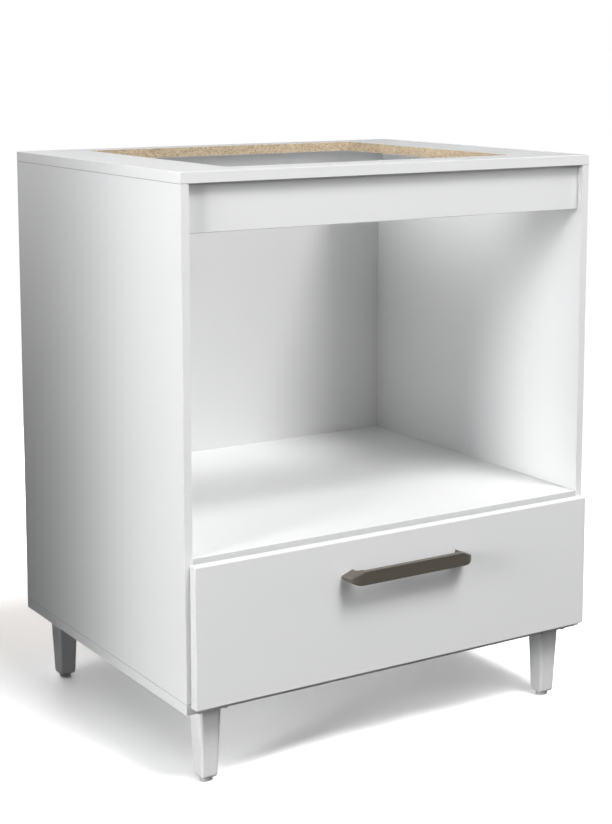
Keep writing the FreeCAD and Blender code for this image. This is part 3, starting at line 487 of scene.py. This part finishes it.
def threaded(top, bottom, core, crest, pitch=THREAD_PITCH):
    """Profile pairs of a screw thread between two heights, ending in a point."""
    count = max(2, int((top - bottom - 2.5 * MM) / pitch))
    pairs = [(crest, top)]
    for turn in range(count):
        high = top - turn * pitch
        pairs += [(core, high - 0.25 * pitch), (crest, high - 0.5 * pitch), (core, high - 0.75 * pitch)]
    return pairs + [(core * 0.9, bottom + 2.2 * MM), (0, bottom)]


def pan_screw(head_radius, head_height, shank_radius, length):
    """A pan-head wood screw with a cross recess."""
    core = THREAD_CORE * shank_radius
    profile = [(PAN_FACE * head_radius, 0), (0.84 * head_radius, -0.22 * head_height),
               (head_radius, -0.62 * head_height), (head_radius, -head_height),
               (shank_radius, -head_height), (shank_radius, -head_height - 1.2 * MM)]
    profile += threaded(-head_height - 1.4 * MM, -length, core, shank_radius)
    bm = turned(profile, RECESS_CORNERS)
    cross_recess(bm, PAN_FACE * head_radius, 0, 0.6 * head_height)
    return bm


def flat_screw(head_radius, head_height, shank_radius, length):
    """A countersunk screw, its head flush with the board."""
    core = THREAD_CORE * shank_radius
    profile = [(FLAT_FACE * head_radius, 0), (head_radius, 0), (head_radius, -0.15 * head_height),
               (shank_radius, -head_height), (shank_radius, -head_height - 2 * MM)]
    profile += threaded(-head_height - 2.2 * MM, -length, core, shank_radius, COARSE_PITCH)
    bm = turned(profile, RECESS_CORNERS)
    cross_recess(bm, FLAT_FACE * head_radius, 0, 0.6 * head_height)
    return bm


def machine_screw(head_radius, head_height, shank_radius, length):
    """A pan-head machine screw with a fine thread and a blunt end."""
    profile = [(PAN_FACE * head_radius, 0), (0.86 * head_radius, -0.2 * head_height),
               (head_radius, -0.6 * head_height), (head_radius, -head_height), (shank_radius, -head_height)]
    height = -head_height - 2 * MM
    while height > -length + 1.2 * MM:
        profile += [(shank_radius, height), (0.85 * shank_radius, height - 0.35 * MM)]
        height -= FINE_PITCH
    profile += [(0.8 * shank_radius, -length), (0, -length)]
    bm = turned(profile, RECESS_CORNERS)
    cross_recess(bm, PAN_FACE * head_radius, 0, 0.6 * head_height)
    return bm


def wire_nail(head_radius, head_height, shank_radius, length):
    """A flat-head nail with the grip rings under its head and a cut point."""
    profile = [(0, 0), (0.8 * head_radius, 0), (head_radius, -0.35 * head_height), (head_radius, -head_height),
               (shank_radius, -head_height)]
    for ring in range(3):
        depth = -head_height - (1 + 0.8 * ring) * MM
        profile += [(shank_radius, depth), (0.88 * shank_radius, depth - 0.3 * MM)]
    profile += [(shank_radius, -length + 2 * MM), (0, -length)]
    return turned(profile, 10)


DOWEL_SIDES = 24
FLUTE = 0.92  # of the dowel's radius


def fluted_dowel(radius, length):
    """A dowel with chamfered ends and pressed flutes."""
    profile = [(0, 0), (0.72 * radius, 0), (radius, -1 * MM), (radius, -length + 1 * MM),
               (0.72 * radius, -length), (0, -length)]
    bm = turned(profile, DOWEL_SIDES)
    for corner in bm.verts:
        side = round(math.atan2(corner.co.y, corner.co.x) / (2 * math.pi / DOWEL_SIDES))
        if side % 2 and abs(math.hypot(corner.co.x, corner.co.y) - radius) < SAME_PLACE:
            corner.co.x *= FLUTE
            corner.co.y *= FLUTE
    return bm


def cam_drum(radius, depth):
    """A die-cast cam: a rimmed face with a cross recess, and the bolt's slot round its waist."""
    profile = [(0.5 * radius, -0.5 * MM), (0.80 * radius, -0.5 * MM), (0.86 * radius, 0),
               (0.97 * radius, 0), (radius, -0.3 * MM), (radius, -0.32 * depth), (0.86 * radius, -0.40 * depth),
               (0.86 * radius, -0.66 * depth), (radius, -0.74 * depth), (radius, -depth + 0.5 * MM),
               (0.93 * radius, -depth), (0, -depth)]
    bm = turned(profile, RECESS_CORNERS)
    cross_recess(bm, 0.5 * radius, -0.5 * MM, 2.2 * MM)
    soften(bm, sharp_edges(bm, 40), 0.12 * MM, segments=1)
    return bm


def cam_bolt(length):
    """A cam bolt, head first: ball head, waist, collar and coarse thread."""
    neck = 1.8 * MM
    ball = 3.0 * MM
    profile = [(0, 0), (0.7 * ball, 0), (ball, -0.9 * MM), (ball, -2.6 * MM), (neck, -3.6 * MM),
               (neck, -9.5 * MM), (2.5 * MM, -10.2 * MM), (2.5 * MM, -length + 12.5 * MM),
               (2.9 * MM, -length + 12.3 * MM), (2.9 * MM, -length + 10.2 * MM)]
    profile += threaded(-length + 10 * MM, -length, 1.7 * MM, 2.5 * MM, BOLT_PITCH)
    return turned(profile, 14)


def axis_of(box, pick):
    """The axis along which a box is longest, by max, or thinnest, by min."""
    sizes = box[1] - box[0]
    return pick(range(3), key=lambda axis: sizes[axis])


def down(box):
    return DOWN


def backward(box):
    return BACKWARD


def outwards(box):
    return sideways(box, False)


def drum_face(box):
    """A cam's face looks to the middle of the cabinet, and down from under the shelf."""
    axis = axis_of(box, min)
    if axis == 2:
        return DOWN
    face = Vector((0, 0, 0))
    face[axis] = -math.copysign(1, (box[0][axis] + box[1][axis]) / 2)
    return face


def bolt_head(box):
    """A cam bolt's head points back from the board that its thread is in."""
    axis = axis_of(box, max)
    if axis == 0:
        return sideways(box)
    return BACKWARD if axis == 1 else DOWN


def fastener_set(name, body, node, finish, shape, sizes, outward_for):
    """All the fasteners of a CAD node: one shape for each solid, as long as it is and set at its outer end."""
    shapes = []
    for box in separate_boxes(node):
        outward = outward_for(box)
        length = abs((box[1] - box[0]).dot(outward))
        shapes.append(placed(shape(*(size * MM for size in sizes), length), outer_end(box, outward), outward))
    new_piece(gathered(shapes), name, body, FINISHES[finish], (node,))


# piece, body, CAD node, finish and slot, shape, its sizes in millimetres, the way that its outer end points
FASTENERS = (
    ("leg_pan_screws", "cabinet", "leg_screws", "zinc", pan_screw, (3.4, 2, 1.7), down),
    ("base_long_screws", "cabinet", "base_screws", "zinc", flat_screw, (4.5, 3, 2.4), down),
    ("back_wire_nails", "cabinet", "back_nails", "zinc", wire_nail, (2.5, 0.6, 0.8), backward),
    ("fluted_dowels", "cabinet", "carcass_dowels", "beech", fluted_dowel, (3,), sideways),
    ("cam_drums", "cabinet", "carcass_cams", "zinc", cam_drum, (7.3,), drum_face),
    ("cam_bolts", "cabinet", "carcass_cam_bolts", "zinc", cam_bolt, (), bolt_head),
    ("rail_screws", "cabinet", "slide_rail_screws", "zinc", pan_screw, (3.4, 1, 1.7), sideways),
    ("runner_screws", "drawer", "slide_runner_screws", "zinc", pan_screw, (3.4, 1, 1.7), down),
    ("drawer_cam_drums", "drawer", "drawer_cams", "zinc", cam_drum, (7.3,), drum_face),
    ("drawer_bolts", "drawer", "drawer_cam_bolts", "zinc", cam_bolt, (), bolt_head),
    ("drawer_corner_screws", "drawer", "drawer_back_screws", "zinc", flat_screw, (3.4, 1.6, 1.7), outwards),
    ("handle_machine_screws", "drawer", "handle_screws", "zinc", machine_screw, (4, 2, 1.95), backward),
)


def fit_fasteners():
    for row in FASTENERS:
        fastener_set(*row)


# Legs and glides

LEG_CORNER = 3 * MM
# half widths and heights of the leg's square sections in millimetres, from the foot up to the flange's top
LEG_SECTIONS = ((10.2, 6.0), (11.6, 6.7), (12.5, 8.2), (12.95, 10.6), (16.75, 103.0), (17.15, 105.4),
                (18.0, 106.5), (19.4, 107.0), (24.5, 107.0), (25.0, 107.5), (25.0, 110.0))
# the hollow: half its width at the top, the height of its floor, and its taper
HOLLOW_HALF = 14 * MM
HOLLOW_FLOOR = 10 * MM
HOLLOW_TAPER = 0.7
FLANGE_UNDERSIDE = 107.2 * MM
LEG_EDGE = 0.25 * MM
# radius and height in millimetres
GLIDE_PROFILE = ((0, 0.5), (4.6, 0.3), (5.2, 0), (7.4, 0), (8.1, 0.3), (8.5, 1.0), (8.5, 4.6), (8.3, 4.9),
                 (7.9, 5.0), (7.9, 6.0), (3.3, 6.0), (3.3, 9.8), (0, 9.8))


def tapered_leg(x, y):
    """A moulded leg: square taper, swelling into its screw flange, hollow from above."""
    bm = bmesh.new()
    sections = in_metres(LEG_SECTIONS)
    half, height = sections[0]
    bmesh.ops.create_grid(bm, x_segments=1, y_segments=1, size=half)
    bmesh.ops.bevel(bm, geom=list(bm.verts), offset=LEG_CORNER, offset_type="OFFSET", segments=5, profile=0.5,
                    affect="VERTICES", material=-1)
    bmesh.ops.translate(bm, vec=(x, y, height), verts=bm.verts)
    top = list(bm.faces)
    for next_half, next_height in sections[1:]:
        top = pull(bm, top, (0, 0, next_height - height))
        grow(bm, top, (next_half / half, next_half / half, 1), (x, y, 0))
        half, height = next_half, next_height
    # the hollow: a mouth in the top, then down to its floor
    for drop, factor in ((0, HOLLOW_HALF / half), (HOLLOW_FLOOR - height, HOLLOW_TAPER)):
        top = pull(bm, top, (0, 0, drop))
        grow(bm, top, (factor, factor, 1), (x, y, 0))
    bmesh.ops.recalc_face_normals(bm, faces=bm.faces)
    soften(bm, [edge for edge in sharp_edges(bm, 50) if edge.verts[0].co.z < FLANGE_UNDERSIDE],
           LEG_EDGE, segments=2)
    return bm


def glide():
    """A round nylon foot, its rim rounded and its sole dished."""
    return turned(in_metres(GLIDE_PROFILE), 40)


def fit_legs():
    for end in ("front", "rear"):
        for side, _ in SIDES:
            spot = end + "_" + side
            low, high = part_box("leg_" + spot)
            x, y = (low.x + high.x) / 2, (low.y + high.y) / 2
            new_piece(tapered_leg(x, y), "tapered_leg_" + spot, "cabinet", FINISHES["leg"],
                      ("leg_" + spot,))
            new_piece(placed(glide(), (x, y, 0), UP), "nylon_glide_" + spot, "cabinet",
                      FINISHES["nylon"], ("glide_" + spot,))


# Handle

HANDLE_FOOT = 18 * MM
HANDLE_BAR = 8 * MM
HANDLE_CORNER = 17 * MM
HANDLE_SCOOP = 13 * MM
SHOULDER_DROP = 8.8 * MM
SHOULDER_RUN = 23 * MM
END_SWEEP = 21 * MM
END_RISE = 10.5 * MM
END_CUTS = 16
HANDLE_MERGE = 0.00002  # corners of the cuts nearer than this become one
HANDLE_EDGE = 0.45 * MM


def bow_handle():
    """A bow bent back to the drawer at both ends, with sloped shoulders and round lower corners."""
    low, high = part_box("handle")
    half = high.x
    inner = half - HANDLE_FOOT
    hollow = low.y + HANDLE_BAR
    bm = bmesh.new()
    plan = polygon_face(bm, [(-half, high.y, low.z), (-half, low.y, low.z), (half, low.y, low.z),
                             (half, high.y, low.z), (inner, high.y, low.z), (inner, hollow, low.z),
                             (-inner, hollow, low.z), (-inner, high.y, low.z)])
    pull(bm, [plan], (0, 0, high.z - low.z))

    def uprights(y):
        return [edge for edge in bm.edges if all(abs(end.co.y - y) < SAME_PLACE for end in edge.verts)
                and abs(edge.verts[0].co.z - edge.verts[1].co.z) > MM]

    soften(bm, uprights(low.y), HANDLE_CORNER, segments=14)
    soften(bm, uprights(hollow), HANDLE_SCOOP, segments=10)
    for _, side in SIDES:
        # the shoulder slopes down to the end
        slice_off(bm, Vector((side * (half - SHOULDER_RUN), 0, high.z)),
                  Vector((side * SHOULDER_DROP, 0, SHOULDER_RUN)).normalized())
        # the lower corner sweeps up to the end in a fan of cuts along a quarter of an ellipse
        centre = Vector((side * (half - END_SWEEP), 0, low.z + END_RISE))
        for number in range(1, END_CUTS):
            angle = math.pi / 2 * number / END_CUTS
            turn, rise = math.cos(angle), math.sin(angle)
            slice_off(bm, centre + Vector((side * turn * END_SWEEP, 0, -rise * END_RISE)),
                      Vector((side * turn / END_SWEEP, 0, -rise / END_RISE)).normalized())
    bmesh.ops.remove_doubles(bm, verts=bm.verts, dist=HANDLE_MERGE)
    bmesh.ops.dissolve_limit(bm, angle_limit=math.radians(0.5), verts=bm.verts, edges=bm.edges)
    soften(bm, sharp_edges(bm, 32), HANDLE_EDGE, segments=3)
    return bm


# Slides of bent sheet, their rollers and pins. The left-hand members are shaped, the right-hand ones mirrored.

SHEET = 1.2 * MM
OUTER_BEND = 1.6 * MM
INNER_BEND = 0.5 * MM
RAIL_GAP = 22.3 * MM  # from the rail's front end, open for its roller
LEDGE = 13.2 * MM  # from the runner's ledge edge to the far face of its web
STOP_HEIGHT = 3 * MM
STOP_CORNER = 0.9 * MM
# the front faces of the rail's stops, where the runner's roller ends its travel open and shut
STOP_PLACES = (-158.334 * MM, 197.134 * MM)
# spare slots: their middles in shares of a member's length, and half their length
SLOT_SHARES = (0.11, 0.36, 0.68)
SLOT_HALF = 5 * MM
RAIL_SLOT = (9.8 * MM, 13.4 * MM)  # above the rail's underside
RUNNER_SLOT = (8 * MM, 4.6 * MM)  # from the ledge's edge


def sheet_run(points, start, end, bends):
    """An open sheet along Y over a line of points in X and Z, each inner point bent to its radius."""
    bm = bmesh.new()
    corners = [bm.verts.new((x, start, z)) for x, z in points]
    line = [bm.edges.new(pair) for pair in zip(corners, corners[1:])]
    made = bmesh.ops.extrude_edge_only(bm, edges=line)["geom"]
    bmesh.ops.translate(bm, vec=(0, end - start, 0),
                        verts=[item for item in made if isinstance(item, bmesh.types.BMVert)])
    for (x, z), radius in zip(points[1:-1], bends):
        soften(bm, [edge for edge in bm.edges if all(math.hypot(corner.co.x - x, corner.co.z - z) < SAME_PLACE
                                                     for corner in edge.verts)], radius, segments=4)
    return bm


def cut_window(bm, low, high):
    """Cut a window through a sheet between two corners of a box."""
    for axis in range(3):
        for value in (low[axis], high[axis]):
            point, way = Vector((0, 0, 0)), Vector((0, 0, 0))
            point[axis], way[axis] = value, 1
            near = [face for face in bm.faces if all(
                min(corner.co[side] for corner in face.verts) < high[side] and
                max(corner.co[side] for corner in face.verts) > low[side] for side in range(3))]
            edges = list({edge for face in near for edge in face.edges})
            corners = list({corner for face in near for corner in face.verts})
            bmesh.ops.bisect_plane(bm, geom=corners + edges + near, plane_co=point, plane_no=way)
    inside = [face for face in bm.faces if all(
        low[axis] < face.calc_center_median()[axis] < high[axis] for axis in range(3))]
    bmesh.ops.delete(bm, geom=inside, context="FACES")


def thickened(bm):
    """The sheet with its thickness on the right of its line."""
    bmesh.ops.solidify(bm, geom=list(bm.faces), thickness=SHEET)
    bmesh.ops.recalc_face_normals(bm, faces=bm.faces)
    return bm


def stop_tab(x_low, x_high, y, z):
    """A lanced end stop, its upper corners rounded."""
    bm = bmesh.new()
    tab = polygon_face(bm, [(x_low, y, z), (x_high, y, z), (x_high, y, z + STOP_HEIGHT),
                            (x_low, y, z + STOP_HEIGHT)])
    pull(bm, [tab], (0, SHEET, 0))
    soften(bm, [edge for edge in bm.edges if all(corner.co.z > z + MM for corner in edge.verts)
                and abs(edge.verts[0].co.y - edge.verts[1].co.y) > SHEET / 2], STOP_CORNER, segments=3)
    return bm


def slot_ends(low, high):
    """Where each spare slot starts and ends along Y."""
    middles = [low.y + share * (high.y - low.y) for share in SLOT_SHARES]
    return [(middle - SLOT_HALF, middle + SLOT_HALF) for middle in middles]


def slide_rail():
    """The channel on the side panel: roller gap, spare slots and two end stops."""
    low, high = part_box("slide_rail_left")
    wall, reach = low.x, high.x
    bm = sheet_run([(reach, low.z), (wall, low.z), (wall, high.z), (reach, high.z)], low.y, high.y,
                   (OUTER_BEND, OUTER_BEND))
    cut_window(bm, (wall + 2 * MM, low.y - MM, low.z - MM), (reach + MM, low.y + RAIL_GAP, low.z + MM))
    for start, end in slot_ends(low, high):
        cut_window(bm, (wall - MM, start, low.z + RAIL_SLOT[0]), (wall + MM, end, low.z + RAIL_SLOT[1]))
    tabs = [stop_tab(wall + SHEET, reach, y, low.z + SHEET) for y in STOP_PLACES]
    return gathered([thickened(bm)] + tabs)


def slide_runner():
    """The member on the drawer: a ledge under the side, a web, and a lip that rides the rail's roller."""
    low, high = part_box("slide_runner_left")
    web = high.x - LEDGE
    lip = high.z - SHEET
    bm = sheet_run([(high.x, low.z), (web, low.z), (web, lip), (low.x, lip)], low.y, high.y,
                   (OUTER_BEND, INNER_BEND))
    for start, end in slot_ends(low, high):
        cut_window(bm, (high.x - RUNNER_SLOT[0], start, low.z - MM),
                   (high.x - RUNNER_SLOT[1], end, low.z + MM))
    return thickened(bm)


def mirrored(bm):
    bmesh.ops.scale(bm, vec=(-1, 1, 1), verts=bm.verts)
    return bm


# radius and height in millimetres
WHEEL_PROFILE = ((2.05, 0), (4.2, 0), (8.2, 0), (9.5, 0), (9.86, 0.15), (10.0, 0.5), (10.0, 6.5), (9.86, 6.85),
                 (9.5, 7.0), (8.2, 7.0), (4.2, 7.0), (2.05, 7.0))
WHEEL_WIDTH = 7 * MM
WHEEL_SEGMENTS = 48
WHEEL_RIBS = 6
POCKET_RADII = (4.3 * MM, 8.1 * MM)
POCKET_MARGIN = 0.3 * MM
POCKET_DEPTH = 1.6 * MM
# a pin's domed head, radius and height in millimetres
PIN_HEAD = ((0, 0), (1.5, -0.06), (2.7, -0.28), (3.35, -0.6), (3.5, -0.85), (3.4, -0.9), (2.0, -0.9))
PIN_RADIUS = 2 * MM


def wheel():
    """A moulded nylon roller with a hub, a rim and ribs between pockets."""
    bm = turned(in_metres(WHEEL_PROFILE), WHEEL_SEGMENTS, closed=True)
    step = 2 * math.pi / WHEEL_SEGMENTS
    share = WHEEL_SEGMENTS // WHEEL_RIBS
    inner, outer = POCKET_RADII
    for height, inward in ((0, 1), (WHEEL_WIDTH, -1)):
        for pocket in range(WHEEL_RIBS):
            chosen = []
            for face in bm.faces:
                middle = face.calc_center_median()
                number = int(math.atan2(middle.y, middle.x) % (2 * math.pi) / step)
                if (abs(middle.z - height) < SAME_PLACE and inner < math.hypot(middle.x, middle.y) < outer
                        and number // share == pocket and number % share):
                    chosen.append(face)
            bmesh.ops.inset_region(bm, faces=chosen, thickness=POCKET_MARGIN, use_even_offset=True)
            pull(bm, chosen, (0, 0, inward * POCKET_DEPTH))
    return bm


def roller_pin(length):
    """A staked pin with a domed head that keeps the roller on."""
    return turned(in_metres(PIN_HEAD) + [(PIN_RADIUS, -length), (0, -length)], 24)


def fit_slides():
    for name, shape, body in (("rail", slide_rail, "cabinet"), ("runner", slide_runner, "drawer")):
        for side, sign in SIDES:
            bm = shape() if sign < 0 else mirrored(shape())
            new_piece(bm, "bent_%s_%s" % (name, side), body, FINISHES["slide"],
                      ("slide_%s_%s" % (name, side),))
        for side, _ in SIDES:
            node = "%s_roller_%s" % (name, side)
            low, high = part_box(node)
            middle = (low + high) / 2
            new_piece(placed(wheel(), (low.x, middle.y, middle.z), (1, 0, 0)), "nylon_" + node, node,
                      FINISHES["nylon"], (node,))
    fastener_set("rail_roller_pins", "cabinet", "slide_rail_pins", "zinc", roller_pin, (), sideways)
    fastener_set("runner_roller_pins", "drawer", "slide_runner_pins", "zinc", roller_pin, (), outwards)


# Boards: the CAD shape of each one, its outer edges rounded as edge banding is, so the joints show as fine
# lines; at the side panels the dark line is painted in their finish, partly painted shade. The two hardboard
# sheets stay as they are.

BAND_RADIUS = 0.5 * MM
FRONT_RADIUS = 0.8 * MM
FRONT_CORNER = 2.5 * MM
RAW_RADIUS = 0.25 * MM
RIM_WIDTH = 4 * MM  # the rims of the drawer's front lie this near to its outer edges
RAW_MARGIN = 0.1 * MM
REAR_RAIL = 12 * MM  # the rear rail's thickness
HARDBOARD_MIDDLE = 1.5 * MM  # half a sheet's thickness


def bare_edges():
    """Boxes inside which the boards show their core: cut edges that carry no band."""
    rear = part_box("top_panel")[1].y
    rail_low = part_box("rear_rail")[0].z
    side_low, side_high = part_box("drawer_side_left")
    opening = (OPENING_LOW + Vector((-RAW_MARGIN, -RAW_MARGIN, LAMINATE_SKIN)),
               OPENING_HIGH + Vector((RAW_MARGIN, RAW_MARGIN, -LAMINATE_SKIN)))
    # a metre is beyond the cabinet on every side
    carcass_rear = (Vector((-1, rear - RAW_MARGIN, 0)), Vector((1, 1, 1)))
    rail_edge = (Vector((-1, rear - REAR_RAIL + LAMINATE_SKIN, rail_low - RAW_MARGIN)),
                 Vector((1, rear - LAMINATE_SKIN, rail_low + RAW_MARGIN)))
    drawer_rear = (Vector((-1, side_high.y - RAW_MARGIN, 0)), Vector((1, 1, 1)))
    drawer_low = (Vector((-1, -1, side_low.z - RAW_MARGIN)), Vector((1, 1, side_low.z + RAW_MARGIN)))
    return {"top": [opening, carcass_rear], "rear_rail": [rail_edge, carcass_rear],
            "carcass": [carcass_rear], "drawer": [drawer_rear, drawer_low]}


def board(node, radius, corner_radius=0):
    """The CAD shape of a board with the edges of its outer box rounded, its four front corners first."""
    bm = cad_shape(node)
    bmesh.ops.dissolve_limit(bm, angle_limit=math.radians(1), verts=bm.verts, edges=bm.edges)
    low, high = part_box(node)

    def outer_sides(corner):
        return {(axis, end) for axis in range(3) for end, value in enumerate((low[axis], high[axis]))
                if abs(corner.co[axis] - value) < SAME_PLACE}

    def outline():
        return [edge for edge in bm.edges
                if len(outer_sides(edge.verts[0]) & outer_sides(edge.verts[1])) > 1]

    def on_rim(corner):
        return any(corner.co[axis] < low[axis] + RIM_WIDTH or corner.co[axis] > high[axis] - RIM_WIDTH
                   for axis in (0, 2))

    if corner_radius:
        soften(bm, [edge for edge in outline() if abs(edge.verts[0].co.y - edge.verts[1].co.y) > 5 * MM],
               corner_radius, segments=5)
        rims = [edge for edge in sharp_edges(bm, 60)
                if any(all(abs(corner.co.y - value) < SAME_PLACE for corner in edge.verts)
                       for value in (low.y, high.y)) and all(on_rim(corner) for corner in edge.verts)]
        soften(bm, rims, radius, segments=3)
    else:
        soften(bm, outline(), radius, segments=3)
    return bm


def fit_boards():
    bare = bare_edges()
    carcass = white_laminate("white_laminate_carcass", bare["carcass"], SIDE_JOINTS)
    drawer = white_laminate("white_laminate_drawer", bare["drawer"])
    boards = (
        ("top_panel", "cabinet", BAND_RADIUS,
         white_laminate("white_laminate_top", bare["top"], SIDE_JOINTS[1:])),
        ("bottom_panel", "cabinet", BAND_RADIUS, carcass),
        ("side_panel_left", "cabinet", BAND_RADIUS, carcass),
        ("side_panel_right", "cabinet", BAND_RADIUS, carcass),
        # its front edge painted a greyer white: painted shade
        ("niche_shelf", "cabinet", BAND_RADIUS,
         white_laminate("white_laminate_shelf", bare["carcass"], painted_shade_edge=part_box("niche_shelf")[0].y)),
        ("front_apron", "cabinet", BAND_RADIUS, carcass),
        ("rear_rail", "cabinet", RAW_RADIUS, white_laminate("white_laminate_rear_rail", bare["rear_rail"])),
        ("drawer_front", "drawer", FRONT_RADIUS, white_laminate("white_laminate_front")),
        ("drawer_side_left", "drawer", BAND_RADIUS, drawer),
        ("drawer_side_right", "drawer", BAND_RADIUS, drawer),
        ("drawer_back", "drawer", RAW_RADIUS, drawer),
    )
    for node, body, radius, finish in boards:
        corner = FRONT_CORNER if node == "drawer_front" else 0
        new_piece(board(node, radius, corner), "banded_" + node, body, finish, (node,))


def dress_sheets():
    """The two hardboard sheets get their faces."""
    rear_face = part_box("back_panel")[0].y
    low_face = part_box("drawer_bottom")[0].z
    back = hardboard("back_hardboard", 1, rear_face + HARDBOARD_MIDDLE, True)
    bottom = hardboard("drawer_hardboard", 2, low_face + HARDBOARD_MIDDLE, False)
    for node, finish in (("back_panel", back), ("drawer_bottom", bottom)):
        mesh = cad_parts[node].data
        mesh.materials.clear()
        mesh.materials.append(finish)


# Stage: floor, light and camera

FLOOR_RADIUS = 400
# how bright the floor is to the camera and to all other rays
FLOOR_SEEN = 1.66
FLOOR_GIVEN_BACK = 0.10


def lay_floor():
    """A plain pale floor that gives back less light than it shows, and is open to a look from below."""
    bm = bmesh.new()
    bmesh.ops.create_circle(bm, cap_ends=True, segments=96, radius=FLOOR_RADIUS)
    mesh = bpy.data.meshes.new("studio_floor")
    bm.to_mesh(mesh)
    bm.free()
    material = bpy.data.materials.new("studio_floor")
    material.use_nodes = True
    tree = material.node_tree
    tree.nodes.remove(tree.nodes["Principled BSDF"])
    rays = node_for(tree, "LightPath").outputs["Is Camera Ray"]
    colour = blend_of(tree, rays, (FLOOR_GIVEN_BACK,) * 3 + (1,), (FLOOR_SEEN,) * 3 + (1,))
    open_below = node_for(tree, "MixShader", i0=node_for(tree, "NewGeometry").outputs["Backfacing"],
                          i1=node_for(tree, "BsdfDiffuse", Color=colour).outputs[0],
                          i2=node_for(tree, "BsdfTransparent").outputs[0])
    tree.links.new(open_below.outputs[0], tree.nodes["Material Output"].inputs["Surface"])
    mesh.materials.append(material)
    floor = bpy.data.objects.new("studio_floor", mesh)
    scene.collection.objects.link(floor)


AMBIENT = 0.06
AMBIENT_COLOUR = (0.97, 0.985, 1, 1)
HIGH_LIGHT = 2.03
HIGH_LIGHT_WAY = (-0.15, 0.5, -0.9)
HIGH_LIGHT_WIDTH = 20  # degrees
# name, place, what it is aimed at, width and height, power in watts, spread in degrees
SOFT_BOXES = (
    ("key_low", (-1.7, -0.7, 0.6), (-0.34, -0.50, 0.45), (0.4, 1.5), 0.31, 40),
    ("key_side", (-1.7, -0.6, 0.8), (-0.34, -0.22, 0.45), (0.4, 1.5), 2.06, 30),
    ("fill_near", (0.65, -1.65, 1.6), (0.0, -0.20, 0.60), (1.6, 1.2), 12.0, 180),
    ("fill_high", (0.35, -1.15, 2.3), (0.0, -0.25, 0.50), (1.4, 1.0), 7.8, 180),
    ("top_left", (-0.85, 0.45, 1.25), (-0.34, 0.20, 0.75), (0.5, 0.5), 3.8, 180),
    ("right_side", (2.0, -0.3, 0.42), (0.34, -0.05, 0.42), (1.2, 0.6), 6.5, 120),
    ("rear", (0.3, 2.1, 0.42), (0.05, 0.29, 0.42), (1.4, 0.6), 15.0, 120),
)


def lamp(name, kind, at, way, settings):
    """A light with its settings, at a place and turned to shine one way."""
    light = bpy.data.lights.new(name, kind)
    for setting, value in settings.items():
        setattr(light, setting, value)
    holder = bpy.data.objects.new(name, light)
    holder.location = at
    holder.rotation_mode = "QUATERNION"
    holder.rotation_quaternion = Vector(way).to_track_quat("-Z", "Y")
    scene.collection.objects.link(holder)
    return holder


def light_stage():
    world = bpy.data.worlds.new("studio")
    world.use_nodes = True
    tree = world.node_tree
    seen = tree.nodes["Background"]
    seen.inputs["Color"].default_value = (1, 1, 1, 1)
    shade = node_for(tree, "Background", Color=AMBIENT_COLOUR, Strength=AMBIENT)
    rays = node_for(tree, "LightPath").outputs["Is Camera Ray"]
    mix = node_for(tree, "MixShader", i0=rays, i1=shade.outputs[0], i2=seen.outputs[0])
    tree.links.new(mix.outputs[0], tree.nodes["World Output"].inputs["Surface"])
    scene.world = world
    scene.view_settings.view_transform = "Standard"
    # a wide, even light from high in front, which puts a soft shadow under the top's edge and the handle
    lamp("high_light", "SUN", (0, 0, 0), HIGH_LIGHT_WAY,
         {"energy": HIGH_LIGHT, "angle": math.radians(HIGH_LIGHT_WIDTH)})
    for name, at, aim, (width, height), power, degrees in SOFT_BOXES:
        box = lamp(name, "AREA", at, Vector(aim) - Vector(at),
                   {"shape": "RECTANGLE", "size": width, "size_y": height, "energy": power,
                    "spread": math.radians(degrees)})
        box.visible_camera = False


# the photograph's view of the cabinet
SENSOR_WIDTH = 36.0  # millimetres, as the lens is
LENS = 74.872
LENS_SHIFT = (-0.0088, -0.14)
CLIP = (0.05, 1000)
CAMERA_PLACE = (-1.3556, -2.1659, 0.9849)
# degrees below the level, and about Z
CAMERA_PITCH = 8.24
CAMERA_YAW = -32.31


def set_camera():
    lens = bpy.data.cameras.new("camera")
    lens.sensor_fit = "AUTO"
    lens.sensor_width = SENSOR_WIDTH
    lens.lens = LENS
    lens.shift_x, lens.shift_y = LENS_SHIFT
    lens.clip_start, lens.clip_end = CLIP
    camera = bpy.data.objects.new("camera", lens)
    camera.location = CAMERA_PLACE
    camera.rotation_euler = (math.radians(90 - CAMERA_PITCH), 0, math.radians(CAMERA_YAW))
    scene.collection.objects.link(camera)
    scene.camera = camera


fit_fasteners()
fit_legs()
new_piece(bow_handle(), "bow_handle", "drawer", FINISHES["handle"], ("handle",))
fit_slides()
fit_boards()
dress_sheets()
lay_floor()
light_stage()
set_camera()
